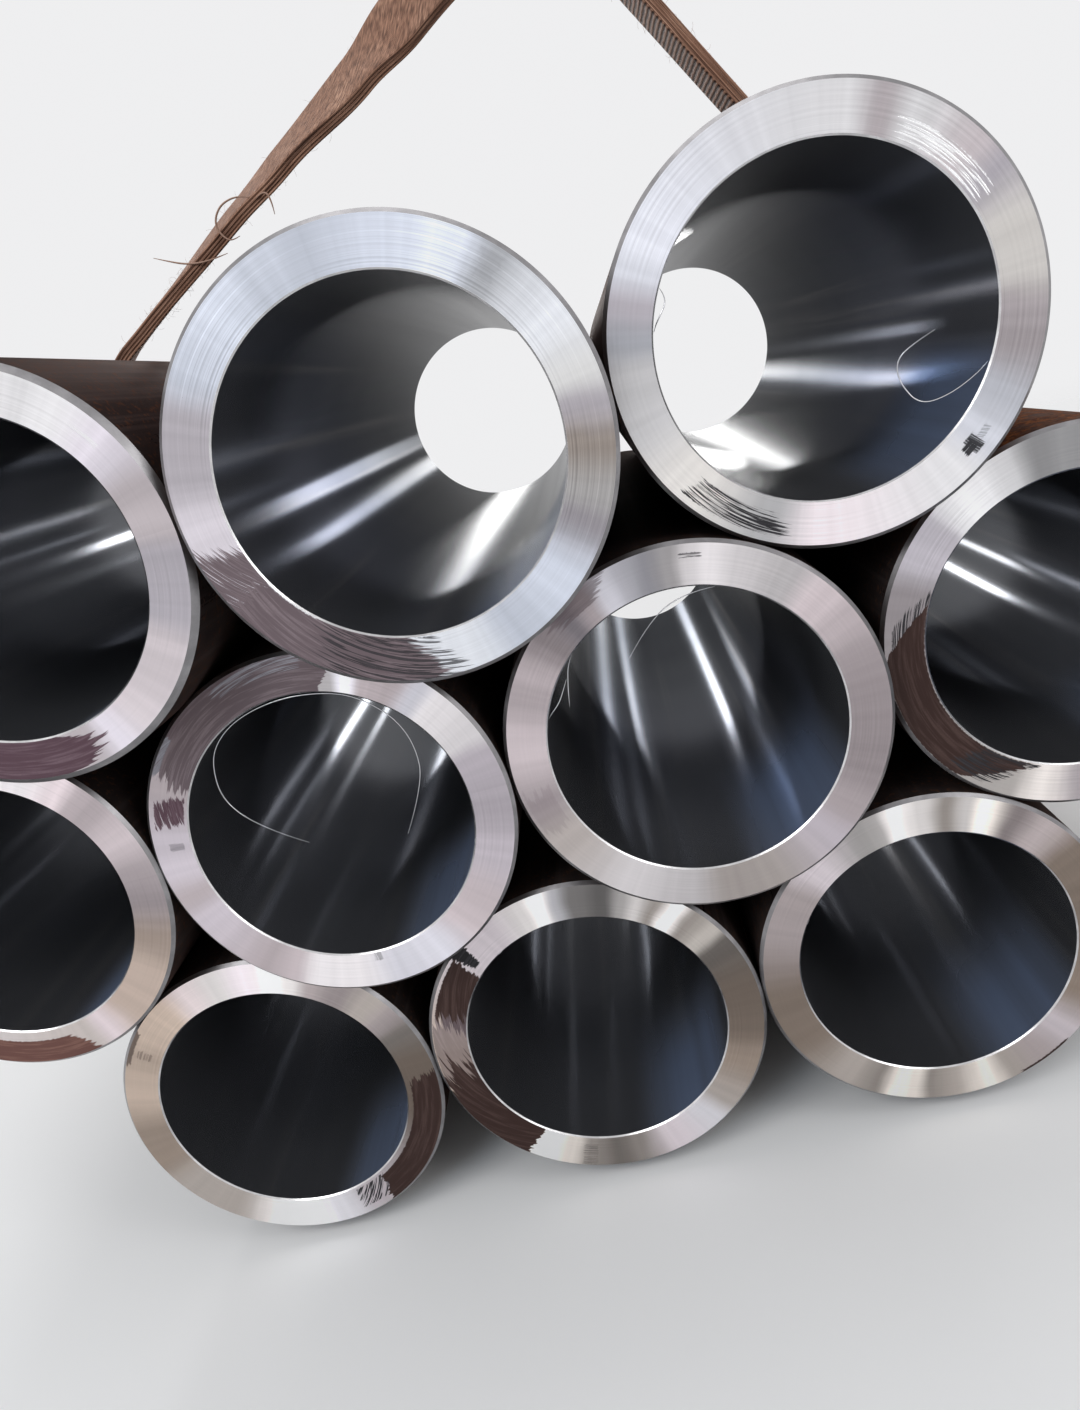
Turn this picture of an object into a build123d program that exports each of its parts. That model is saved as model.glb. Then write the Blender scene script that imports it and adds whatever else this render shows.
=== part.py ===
# Bundle of ten short honed steel tubes, nested 3-4-3 and held by one flat textile lifting sling.
# Millimetres, +Z up. The tubes lie along Y and their photographed ends face -Y.
# The origin is on the floor, under the middle of the bundle's box.
import math
import os

from build123d import *

# Tube section and length
pipe_outer_diameter = 260.0
pipe_wall = 30.0
pipe_length = 740.0
rim_chamfer = 2.5
wide_rim_chamfer = 4.0
bore_chamfer = 1.0

# How the tubes nest
pipe_clearance = 0.3

# Sling: a round sling pressed flat, its two legs drawn up to the eye where a hook takes it
sling_width = 55.0
sling_thickness = 12.0
sling_edge_chamfer = 4.0
sling_clearance = 0.3
eye_saddle_radius = 40.0
eye_rise = 212.0
eye_inset = 98.0

# Rows from the lowest up, each with its tubes from left to right
pipe_rows = (
    ("pipe_bottom_left", "pipe_bottom_middle", "pipe_bottom_right"),
    ("pipe_middle_far_left", "pipe_middle_left", "pipe_middle_right", "pipe_middle_far_right"),
    ("pipe_top_left", "pipe_top_middle", "pipe_top_right"),
)
wide_rimmed_pipes = ("pipe_top_left",)

# How far each tube stands out at the front
stand_outs = {
    "pipe_bottom_left": -16.0,
    "pipe_bottom_middle": -15.0,
    "pipe_bottom_right": -16.0,
    "pipe_middle_far_left": 9.0,
    "pipe_middle_left": 9.0,
    "pipe_middle_right": 6.0,
    "pipe_middle_far_right": -17.0,
    "pipe_top_left": 54.0,
    "pipe_top_middle": 62.0,
    "pipe_top_right": 2.0,
}

# Worked out from the sizes above
pipe_radius = pipe_outer_diameter / 2
bore_radius = pipe_radius - pipe_wall
wall_middle_radius = pipe_radius - pipe_wall / 2
pitch = pipe_outer_diameter + pipe_clearance
row_rise = pitch * math.sin(math.radians(60))
lowest_axis_height = sling_thickness + sling_clearance + pipe_radius
top_of_pipes = lowest_axis_height + (len(pipe_rows) - 1) * row_rise + pipe_radius

# The box is centred on Y although some tubes stand out further than others
middle_y = (max(stand_outs.values()) + min(stand_outs.values())) / 2

# The sling goes round the bundle under its centre of gravity
sling_y = middle_y - sum(stand_outs.values()) / len(stand_outs)


def row_centres(level):
    """Axes of one row's tubes in the plane of the ends, as X and height, from left to right."""
    count = len(pipe_rows[level])
    return [((i - (count - 1) / 2) * pitch, lowest_axis_height + level * row_rise) for i in range(count)]


# The sling bears on the first and the last tube of each row
row_ends = []
for level in range(len(pipe_rows)):
    row_ends += [row_centres(level)[0], row_centres(level)[-1]]


def build_pipe(label, centre, stand_out, outer_chamfer):
    """One cut of thick honed tube, faced square and chamfered at both ends."""
    back_y = middle_y + pipe_length / 2 - stand_out
    with BuildPart() as pipe:
        with BuildSketch(Plane.XZ.offset(-back_y)):
            with Locations(centre):
                Circle(pipe_radius)
                Circle(bore_radius, mode=Mode.SUBTRACT)
        extrude(amount=pipe_length)
        rims = pipe.edges().filter_by(GeomType.CIRCLE)
        chamfer(rims.filter_by(lambda edge: edge.radius > wall_middle_radius), length=outer_chamfer)
        rims = pipe.edges().filter_by(GeomType.CIRCLE)
        chamfer(rims.filter_by(lambda edge: abs(edge.radius - bore_radius) < bore_chamfer / 2), length=bore_chamfer)
    pipe.part.label = label
    return pipe.part


def draw_sling_loop(growth):
    """Tight loop round the tubes and the hook's saddle, standing off them by growth."""
    with Locations(*row_ends):
        Circle(pipe_radius + growth)
    with Locations((row_ends[-1][0] - eye_inset, top_of_pipes + eye_rise)):
        Circle(eye_saddle_radius - sling_clearance + growth)
    make_hull()


os.makedirs("parts", exist_ok=True)

for level, names in enumerate(pipe_rows):
    for name, centre in zip(names, row_centres(level)):
        outer_chamfer = wide_rim_chamfer if name in wide_rimmed_pipes else rim_chamfer
        export_step(build_pipe(name, centre, stand_outs[name], outer_chamfer), f"parts/{name}.step")

# The sling is one closed loop: under the bottom row, up both sides, and through the eye
sling_back = Plane.XZ.offset(-(sling_y + sling_width / 2))
with BuildPart() as lifting_sling:
    with BuildSketch(sling_back):
        draw_sling_loop(sling_clearance + sling_thickness)
    extrude(amount=sling_width)
    with BuildSketch(sling_back):
        draw_sling_loop(sling_clearance)
    extrude(amount=sling_width, mode=Mode.SUBTRACT)
    chamfer(lifting_sling.faces().filter_by(Axis.Y).edges(), length=sling_edge_chamfer)
lifting_sling.part.label = "lifting_sling"
export_step(lifting_sling.part, "parts/lifting_sling.step")
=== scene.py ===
"""Looks of a bundle of short honed steel tubes, nested 3-4-3 and hung in a brown textile sling."""
import logging
import math
from dataclasses import dataclass
from enum import Enum
from typing import Union

import bpy
from mathutils import Matrix, Vector, noise


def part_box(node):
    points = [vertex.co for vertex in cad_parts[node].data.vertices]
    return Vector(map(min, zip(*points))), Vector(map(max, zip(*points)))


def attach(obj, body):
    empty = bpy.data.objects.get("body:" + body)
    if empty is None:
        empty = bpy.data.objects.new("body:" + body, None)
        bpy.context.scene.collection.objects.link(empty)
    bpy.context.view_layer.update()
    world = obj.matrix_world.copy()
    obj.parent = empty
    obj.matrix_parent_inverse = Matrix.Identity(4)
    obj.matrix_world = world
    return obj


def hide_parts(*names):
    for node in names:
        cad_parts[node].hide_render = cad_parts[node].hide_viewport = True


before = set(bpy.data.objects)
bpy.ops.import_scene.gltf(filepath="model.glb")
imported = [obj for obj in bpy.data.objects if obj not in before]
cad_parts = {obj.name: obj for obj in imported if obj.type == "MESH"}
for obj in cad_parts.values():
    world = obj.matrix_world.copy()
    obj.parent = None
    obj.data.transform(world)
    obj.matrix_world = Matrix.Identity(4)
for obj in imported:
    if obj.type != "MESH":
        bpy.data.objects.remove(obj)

logging.basicConfig(level=logging.INFO, format="%(message)s")
log = logging.getLogger("tube_bundle")

MM = 0.001
BODY = "root"
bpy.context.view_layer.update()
UP = (0.0, 0.0, 1.0)
FULL_TURN = 360.0
SHARP_ANGLE = 20.0
SWARF_RADIUS = 0.40 * MM
YARN_RADIUS = 0.9 * MM

Socket = bpy.types.NodeSocket
Colour = tuple[float, float, float]
Point = tuple[float, float, float]
Range = tuple[float, float]


class Field:
    """A value from a node, on which plain arithmetic can be done.

    Args:
        nodes: Builder of the tree that it belongs to.
        socket: Socket that gives it.
    """

    def __init__(self, nodes: "Nodes", socket: Socket) -> None:
        """Keeps the builder and the socket."""
        self.nodes = nodes
        self.socket = socket

    def __add__(self, other: "Value") -> "Field":
        """Adds a number or a field."""
        return self.nodes.math("ADD", self, other)

    def __sub__(self, other: "Value") -> "Field":
        """Takes a number or a field away."""
        return self.nodes.math("SUBTRACT", self, other)

    def __rsub__(self, other: "Value") -> "Field":
        """Takes the field away from a number."""
        return self.nodes.math("SUBTRACT", other, self)

    def __mul__(self, other: "Value") -> "Field":
        """Multiplies by a number or a field."""
        return self.nodes.math("MULTIPLY", self, other)

    def __truediv__(self, other: "Value") -> "Field":
        """Divides by a number or a field."""
        return self.nodes.math("DIVIDE", self, other)


Value = Union[float, Socket, Field]
Inputs = dict[Union[int, str], object]


class Nodes:
    """Adds, feeds and links nodes in one node tree.

    Args:
        tree: The node tree to build in.
    """

    def __init__(self, tree: bpy.types.NodeTree) -> None:
        """Keeps the tree."""
        self.tree = tree

    def add(self, kind: str, inputs: Union[Inputs, None] = None, **settings: object) -> bpy.types.Node:
        """Adds one node.

        Args:
            kind: Blender's name for the node type.
            inputs: What goes into its inputs, by name or by place.
            settings: Properties to set on it.

        Returns:
            The new node.
        """
        node = self.tree.nodes.new(kind)
        for name, value in settings.items():
            setattr(node, name, value)
        self.feed(node, inputs or {})
        return node

    def feed(self, node: bpy.types.Node, inputs: Inputs) -> None:
        """Links sockets and fields to a node's inputs, and writes plain values in them.

        Args:
            node: The node.
            inputs: What goes into its inputs, by name or by place.
        """
        for name, value in inputs.items():
            target = node.inputs[name]
            source = value.socket if isinstance(value, Field) else value
            if isinstance(source, Socket):
                self.tree.links.new(source, target)
            elif target.type == "RGBA":
                target.default_value = (*source, 1.0)
            else:
                target.default_value = source

    def result(self, kind: str, inputs: Union[Inputs, None] = None, output: Union[int, str] = 0,
               **settings: object) -> Field:
        """Adds one node and gives one of its outputs.

        Args:
            kind: Blender's name for the node type.
            inputs: What goes into its inputs, by name or by place.
            output: Name or place of the output.
            settings: Properties to set on it.

        Returns:
            The output.
        """
        return Field(self, self.add(kind, inputs, **settings).outputs[output])

    def math(self, operation: str, *values: Value) -> Field:
        """Adds a math node and gives its result."""
        return self.result("ShaderNodeMath", dict(enumerate(values)), operation=operation)

    def between(self, value: Value, low: float, high: float) -> Field:
        """Rises smoothly from 0 at low to 1 at high."""
        inputs = {"Value": value, "From Min": low, "From Max": high}
        return self.result("ShaderNodeMapRange", inputs, "Result", interpolation_type="SMOOTHSTEP")

    def spread(self, value: Field, low: float, high: float) -> Field:
        """Spreads a 0 to 1 value from low to high."""
        return self.math("MULTIPLY_ADD", value, high - low, low)

    def blend(self, factor: Value, first: object, second: object, mode: str = "MIX") -> Socket:
        """Mixes two colours.

        Args:
            factor: Share of the second colour.
            first: Colour or socket under it.
            second: Colour or socket laid over.
            mode: Blend mode.

        Returns:
            The mixed colour.
        """
        inputs = {0: factor, 6: first, 7: second}
        settings = {"data_type": "RGBA", "blend_type": mode, "clamp_factor": True}
        return self.add("ShaderNodeMix", inputs, **settings).outputs[2]

    def noise(self, vector: Value, scale: float, detail: float = 2.0, roughness: float = 0.5) -> Field:
        """Gives a 3-D noise from 0 to 1."""
        inputs = {"Vector": vector, "Scale": scale, "Detail": detail, "Roughness": roughness}
        return self.result("ShaderNodeTexNoise", inputs, "Fac")

    def line_noise(self, position: Value, scale: float, detail: float) -> Field:
        """Gives a noise from 0 to 1 along one number only."""
        inputs = {"W": position, "Scale": scale, "Detail": detail}
        return self.result("ShaderNodeTexNoise", inputs, "Fac", noise_dimensions="1D")

    def vector(self, x: Value, y: Value, z: Value) -> Socket:
        """Joins three numbers into a vector."""
        return self.add("ShaderNodeCombineXYZ", {0: x, 1: y, 2: z}).outputs[0]

    def grey(self, level: Value) -> Socket:
        """Gives a grey of that level."""
        return self.vector(level, level, level)

    def parts(self, vector: Value) -> list[Field]:
        """Parts a vector into X, Y and Z."""
        return [Field(self, part) for part in self.add("ShaderNodeSeparateXYZ", {0: vector}).outputs]

    def stretched(self, vector: Value, stretch: Point) -> Socket:
        """Multiplies a vector part by part."""
        return self.add("ShaderNodeVectorMath", {0: vector, 1: stretch}, operation="MULTIPLY").outputs[0]

    def length(self, vector: Value) -> Field:
        """Gives a vector's length."""
        return self.result("ShaderNodeVectorMath", {0: vector}, "Value", operation="LENGTH")

    def object_point(self, centre: Point = (0.0, 0.0, 0.0)) -> Socket:
        """Gives the point of the surface in the part's frame.

        Args:
            centre: Point that it is counted from.

        Returns:
            The point.
        """
        place = self.add("ShaderNodeTexCoord").outputs["Object"]
        inputs = {"Vector": place, "Location": tuple(-part for part in centre)}
        return self.add("ShaderNodeMapping", inputs).outputs[0]

    def bump(self, height: Value, depth: float, strength: float) -> Socket:
        """Turns a height into a surface normal.

        Args:
            height: Height from 0 to 1.
            depth: Real depth of that height, in metres.
            strength: Share of the effect.

        Returns:
            The normal.
        """
        inputs = {"Height": height, "Distance": depth, "Strength": strength}
        return self.add("ShaderNodeBump", inputs).outputs[0]

    def comb_round(self, surface: bpy.types.Node, amount: float) -> None:
        """Spreads the gloss across fine grooves that run round Y."""
        tangent = self.add("ShaderNodeTangent", direction_type="RADIAL", axis="Y").outputs[0]
        self.feed(surface, {"Anisotropic": amount, "Anisotropic Rotation": 0.25, "Tangent": tangent})


def new_material(name: str) -> tuple[bpy.types.Material, Nodes, bpy.types.Node]:
    """Makes an empty material with one main shader.

    Args:
        name: Name of the material.

    Returns:
        The material, a builder for its tree, and its main shader.
    """
    material = bpy.data.materials.new(name)
    material.use_nodes = True
    material.node_tree.nodes.clear()
    nodes = Nodes(material.node_tree)
    surface = nodes.add("ShaderNodeBsdfPrincipled")
    nodes.add("ShaderNodeOutputMaterial", {"Surface": surface.outputs[0]})
    return material, nodes, surface


def darker(colour: Colour, share: float) -> Colour:
    """Gives a share of a colour."""
    return tuple(share * part for part in colour)


class Mark(Enum):
    """Kinds of mark on a faced end, each with its dark and light colour, roughness and share of metal."""

    BROWN_SKIN = ((0.085, 0.046, 0.060), (0.160, 0.105, 0.125), 0.45, 0.15)
    PALE_SKIN = ((0.135, 0.102, 0.112), (0.235, 0.186, 0.200), 0.48, 0.15)
    DARK_SKIN = ((0.034, 0.016, 0.013), (0.075, 0.044, 0.038), 0.48, 0.10)
    RUST_SKIN = ((0.125, 0.055, 0.045), (0.210, 0.110, 0.085), 0.50, 0.10)
    BLACK_SCORE = ((0.016, 0.015, 0.017), (0.050, 0.048, 0.054), 0.40, 0.30)
    WHITE_SCORE = ((0.900, 0.900, 0.920), (1.000, 1.000, 1.000), 0.20, 1.00)
    GREY_BLUR = ((0.200, 0.195, 0.220), (0.300, 0.290, 0.320), 0.40, 0.90)
    INK = ((0.020, 0.020, 0.024), (0.060, 0.060, 0.066), 0.60, 0.00)

    def __init__(self, dark: Colour, light: Colour, roughness: float, metallic: float) -> None:
        """Gives the four values their names."""
        self.dark = dark
        self.light = light
        self.roughness = roughness
        self.metallic = metallic


class Hue(Enum):
    """Tints of the painted reflection on a faced end."""

    PLAIN = (1.00, 1.00, 1.00)
    COOL = (0.95, 0.98, 1.05)
    LILAC = (1.01, 0.96, 1.03)
    PINK = (1.04, 0.95, 0.97)
    WARM = (1.05, 0.99, 0.93)
    CREAM = (1.04, 1.01, 0.95)
    BROWN = (1.10, 0.93, 0.79)


@dataclass(frozen=True)
class EndCoordinates:
    """Where a point lies on a tube's end.

    Attributes:
        point: Point counted from the middle of the tube.
        radius: Distance from the axis, in metres.
        share: Share of the wall from bore to rim.
        angle: Degrees round the tube, anticlockwise seen from the photographed end.
        front: 1 on the photographed end.
    """

    point: Socket
    radius: Field
    share: Field
    angle: Field
    front: Field

    @classmethod
    def of(cls, nodes: Nodes, centre: Point, bore: float, rim: float) -> "EndCoordinates":
        """Works out where a point lies.

        Args:
            nodes: Builder of the material's tree.
            centre: Middle of the tube.
            bore: Bore radius in metres.
            rim: Outer radius in metres.

        Returns:
            The coordinates.
        """
        point = nodes.object_point(centre)
        x, y, z = nodes.parts(point)
        radius = nodes.length(nodes.vector(x, 0.0, z))
        degrees = nodes.math("ARCTAN2", z, x) * (180.0 / math.pi)
        angle = nodes.math("FLOORED_MODULO", degrees, FULL_TURN)
        return cls(point, radius, (radius - bore) / (rim - bore), angle, nodes.math("LESS_THAN", y, 0.0))


@dataclass(frozen=True)
class Smear:
    """One mark on a faced end, in degrees round the tube and in shares of the wall from bore to rim.

    Attributes:
        mark: Its kind.
        start: Angle where it starts, at the bore and at the rim.
        end: Angle where it ends, at the bore and at the rim.
        reach: Lowest and highest share of the wall that it covers.
        fade: Degrees over which its brush strokes begin, and over which they run out.
        strokes: Number of brush strokes across the wall.
        slope: How much of the wall a stroke crosses in each degree.
        gaps: Share of the strokes that are missing.
        bulge: Degrees by which its end reaches further at mid wall.
        strength: How strongly it covers the steel.
    """

    mark: Mark
    start: Range
    end: Range
    reach: Range = (-0.2, 1.2)
    fade: Range = (3.0, 6.0)
    strokes: float = 16.0
    slope: float = 0.0
    gaps: float = 0.0
    bulge: float = 0.0
    strength: float = 1.0

    def brush(self, nodes: Nodes, at: EndCoordinates, seed: float) -> Field:
        """Draws its brush strokes.

        Args:
            nodes: Builder of the material's tree.
            at: Place on the end.
            seed: Offset of the pattern.

        Returns:
            The strokes, from 0 to 1.
        """
        per_degree, hairs_finer, apart = 0.035, 3.0, 10.0
        across = at.share - at.angle * self.slope
        stroke_point = nodes.vector(at.angle * per_degree, across * self.strokes, apart * seed)
        broad = nodes.noise(stroke_point, 1.0, 2.0, 0.6)
        hair_point = nodes.stretched(stroke_point, (hairs_finer, hairs_finer, 1.0))
        hairs = nodes.noise(hair_point, 1.0, 2.0, 0.6)
        return nodes.between(broad * 0.65 + hairs * 0.35, 0.30, 0.70)

    def mask(self, nodes: Nodes, at: EndCoordinates, brush: Field) -> Field:
        """Marks off the place that it covers.

        Args:
            nodes: Builder of the material's tree.
            at: Place on the end.
            brush: Pattern of its brush strokes.

        Returns:
            The mask, from 0 to 1.
        """
        shortest_fade, soft_edge, soft_gap, ruffle = 0.5, 0.015, 0.06, 0.035
        (start_bore, start_rim), (end_bore, end_rim) = self.start, self.end
        centred = at.share * 2.0 - 1.0
        bulge = (1.0 - centred * centred) * self.bulge
        start = at.share * (start_rim - start_bore) + start_bore
        end = at.share * (end_rim - end_bore) + end_bore + bulge
        begun = (at.angle - start) / max(self.fade[0], shortest_fade)
        left = (end - at.angle) / max(self.fade[1], shortest_fade)
        ruffled = at.share + nodes.spread(nodes.noise(at.point, 500.0), -ruffle, ruffle)
        low, high = self.reach
        mask = nodes.between(begun + brush, 0.40, 0.60) * nodes.between(left + brush, 0.40, 0.60)
        mask = mask * nodes.between(ruffled, low - soft_edge, low + soft_edge)
        mask = mask * nodes.between(ruffled, high + soft_edge, high - soft_edge)
        if self.gaps > 0.0:
            mask = mask * nodes.between(brush, self.gaps - soft_gap, self.gaps + soft_gap)
        return mask * self.strength * at.front


@dataclass(frozen=True)
class FacedEnd:
    """Finish of an end turned flat on a lathe: bright, with fine rings, gloss that fans out and painted
    reflection in wedges round the ring.

    Attributes:
        colour: Colour of the bare steel.
        roughness: Mean roughness.
        rings: How strongly the facing marks show.
        seed: Offset of the patterns.
        fan: Angles in degrees, each with the brightness and tint of the painted reflection there.
        smears: Marks left on it.
        stain: Colour that the steel takes where it is mottled.
        ring_scales: Coarse and fine facing rings to the metre.
        ring_depth: Depth of the rings, in metres.
        back_turn: Degrees by which the painted reflection wedges of the far end are turned.
    """

    colour: Colour
    roughness: float
    rings: float
    seed: float
    fan: tuple[tuple[float, float, Hue], ...]
    smears: tuple[Smear, ...] = ()
    stain: Colour = (0.58, 0.52, 0.53)
    ring_scales: Range = (620.0, 2100.0)
    ring_depth: float = 0.06 * MM
    back_turn: float = 140.0

    def painted_reflection_fan(self, nodes: Nodes, at: EndCoordinates) -> Socket:
        """Paints reflection into the colour round the ring in wedges, as turned grooves reflect light.

        Args:
            nodes: Builder of the material's tree.
            at: Place on the end.

        Returns:
            Brightness and tint of the painted reflection.
        """
        degrees = 3.0
        wobble = nodes.spread(nodes.noise(at.point, 24.0), -degrees, degrees)
        turned = at.angle + (1.0 - at.front) * self.back_turn + wobble
        share_of_turn = nodes.math("FLOORED_MODULO", turned, FULL_TURN) / FULL_TURN
        ramp = nodes.add("ShaderNodeValToRGB", {0: share_of_turn})
        ramp.color_ramp.interpolation = "EASE"

        # The ramp holds a share of the painted reflection, because its colours end at 1
        held = 0.25
        (first_angle, first_tone, first_hue), (last_angle, last_tone, _) = self.fan[0], self.fan[-1]
        wrap = (FULL_TURN - last_angle) / (first_angle + FULL_TURN - last_angle)
        stops = ramp.color_ramp.elements
        for angle, tone, hue in self.fan:
            stops.new(max(angle, 0.01) / FULL_TURN).color = (*darker(hue.value, held * tone ** 2), 1.0)
        joined_tone = last_tone + (first_tone - last_tone) * wrap
        for end in (0, -1):
            stops[end].color = (*darker(first_hue.value, held * joined_tone ** 2), 1.0)
        # Painted reflection streaks vary the wedges a little round the ring
        streaks = nodes.line_noise(at.angle + 50.0 * self.seed, 0.22, 4.0)
        level = nodes.spread(streaks, 0.9 / held, 1.1 / held)
        return nodes.blend(1.0, ramp.outputs[0], nodes.grey(level), "MULTIPLY")

    def material(self, name: str, centre: Point, bore: float, rim: float) -> bpy.types.Material:
        """Makes the material for one tube's ends.

        Args:
            name: Name of the material.
            centre: Middle of the tube.
            bore: Bore radius in metres.
            rim: Outer radius in metres.

        Returns:
            The material.
        """
        material, nodes, surface = new_material(name)
        at = EndCoordinates.of(nodes, centre, bore, rim)

        # Rings left by the facing tool, stronger in some quarters than in others
        seeded = at.radius + self.seed
        coarse, fine = self.ring_scales
        rings = nodes.line_noise(seeded, coarse, 1.0) * 0.6 + nodes.line_noise(seeded, fine, 2.0) * 0.4
        quarters = nodes.between(nodes.noise(at.point, 11.0, 1.0), 0.38, 0.66)
        strength = nodes.spread(quarters, 0.25 * self.rings, 1.3 * self.rings)
        ring_tone = nodes.spread(rings, -0.5, 0.5) * strength + 1.0

        mottled = nodes.noise(at.point, 38.0, 3.0, 0.6)
        colour = nodes.blend(nodes.spread(mottled, 0.0, 0.14), self.colour, self.stain)
        # The colour is multiplied by the painted reflection wedges and by the tone of the facing rings
        for gloss in (self.painted_reflection_fan(nodes, at), nodes.grey(ring_tone)):
            colour = nodes.blend(1.0, colour, gloss, "MULTIPLY")
        roughness = nodes.spread(mottled, self.roughness - 0.05, self.roughness + 0.07)
        metallic: Value = 1.0
        height = rings
        for smear in self.smears:
            mark = smear.mark
            brush = smear.brush(nodes, at, self.seed)
            mask = smear.mask(nodes, at, brush)
            grain = nodes.spread(nodes.noise(at.point, 700.0, 2.0, 0.7), 0.3, 1.2)
            lit = nodes.between(brush, 0.35, 1.0) * grain
            colour = nodes.blend(mask, colour, nodes.blend(lit, mark.dark, mark.light))
            roughness = mask * (mark.roughness - roughness) + roughness
            metallic = mask * (mark.metallic - metallic) + metallic
            height = mask * nodes.spread(brush, -1.4, 1.0) + height
        nodes.comb_round(surface, 0.75)
        nodes.feed(surface, {
            "Base Color": colour,
            "Roughness": roughness,
            "Metallic": metallic,
            "Specular IOR Level": 0.2,
            "Normal": nodes.bump(height, self.ring_depth, 0.6),
        })
        return material


@dataclass(frozen=True)
class HonedBore:
    """Finish of the honed bore: dark, nearly a mirror, with gloss that runs along the tube, brighter lines
    that are partly painted reflection streaks, and a painted bluish reflection low on the right near the
    front end.

    Attributes:
        colour: Colour near the photographed end.
        deep_colour: Colour deep in the tube.
        deep: Where along Y the one colour goes over into the other.
        bright_colour: Colour of the brighter lines along the bore, partly honing marks and partly painted
            reflection streaks.
        line_scale: Lines along the bore to the metre, honing marks and painted streaks.
        painted_reflection_colour: Colour of a painted bluish reflection low on the right near the front end.
        painted_reflection_normal: Which way the wall faces where the painted reflection lies.
        painted_reflection_reach: Where along Y the painted reflection thins out, and where it is full.
        painted_reflection_dulls: Share of clear reflection that the painted reflection takes away.
        roughness: Mean roughness.
        grazing: How much it still reflects at a low angle.
        metallic: Share of clear reflection; the rest is the soft gloss of the honing grooves.
    """

    colour: Colour = (0.244, 0.250, 0.272)
    deep_colour: Colour = (0.250, 0.256, 0.266)
    deep: Range = (-0.25, 0.15)
    bright_colour: Colour = (0.360, 0.355, 0.355)
    line_scale: float = 46.0
    painted_reflection_colour: Colour = (0.210, 0.265, 0.400)
    painted_reflection_normal: Point = (-0.63, 0.0, 0.78)
    painted_reflection_reach: Range = (-0.17, -0.29)
    painted_reflection_dulls: float = 0.26
    roughness: float = 0.13
    grazing: Colour = (0.18, 0.18, 0.18)
    metallic: float = 0.86

    def material(self) -> bpy.types.Material:
        """Makes the material.

        Returns:
            The material.
        """
        material, nodes, surface = new_material("honed_bore")
        point = nodes.object_point()
        depth = nodes.parts(point)[1]
        drawn = nodes.noise(nodes.stretched(point, (1.0, 0.012, 1.0)), self.line_scale, 4.0, 0.6)
        clouds = nodes.noise(point, 7.0)
        colour = nodes.blend(nodes.between(depth, *self.deep), self.colour, self.deep_colour)
        # Brighter lines along the axis, partly honing marks and partly painted reflection streaks
        colour = nodes.blend(nodes.between(drawn, 0.52, 0.78), colour, self.bright_colour)
        colour = nodes.blend(nodes.spread(clouds, 0.0, 0.5), colour, darker(self.colour, 0.6))

        # The painted bluish reflection lies low on the right, from the edge to a hand's breadth in
        facing = {0: nodes.add("ShaderNodeNewGeometry").outputs["Normal"], 1: self.painted_reflection_normal}
        facing_painted_reflection = nodes.result("ShaderNodeVectorMath", facing, "Value", operation="DOT_PRODUCT")
        # film is the mask of the painted bluish reflection
        film = nodes.between(facing_painted_reflection, 0.80, 1.0) * nodes.between(depth, *self.painted_reflection_reach)
        film = film * nodes.spread(drawn, 0.5, 1.3)
        nodes.comb_round(surface, 0.6)
        nodes.feed(surface, {
            "Base Color": nodes.blend(film, colour, self.painted_reflection_colour),
            "Metallic": film * -self.painted_reflection_dulls + self.metallic,
            "Roughness": nodes.spread(drawn, self.roughness - 0.04, self.roughness + 0.05),
            "Specular IOR Level": 0.0,
            "Specular Tint": self.grazing,
        })
        return material


@dataclass(frozen=True)
class TurnedEdge:
    """Finish of a small turned edge, such as the rim's chamfer or the broken edge of the bore.

    Attributes:
        name: Name of the material.
        colour: Colour of the steel.
        roughness: Mean roughness.
        mark_depth: Depth of its tool marks, in metres.
    """

    name: str
    colour: Colour
    roughness: float
    mark_depth: float = 0.03 * MM

    def material(self) -> bpy.types.Material:
        """Makes the material.

        Returns:
            The material.
        """
        material, nodes, surface = new_material(self.name)
        point = nodes.object_point()
        worn = nodes.noise(point, 70.0, 4.0, 0.6)
        nodes.feed(surface, {
            "Base Color": nodes.blend(nodes.between(worn, 0.35, 0.75), darker(self.colour, 0.7), self.colour),
            "Metallic": 1.0,
            "Roughness": nodes.spread(worn, self.roughness - 0.06, self.roughness + 0.08),
            "Normal": nodes.bump(nodes.noise(point, 900.0), self.mark_depth, 0.5),
        })
        return material


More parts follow.
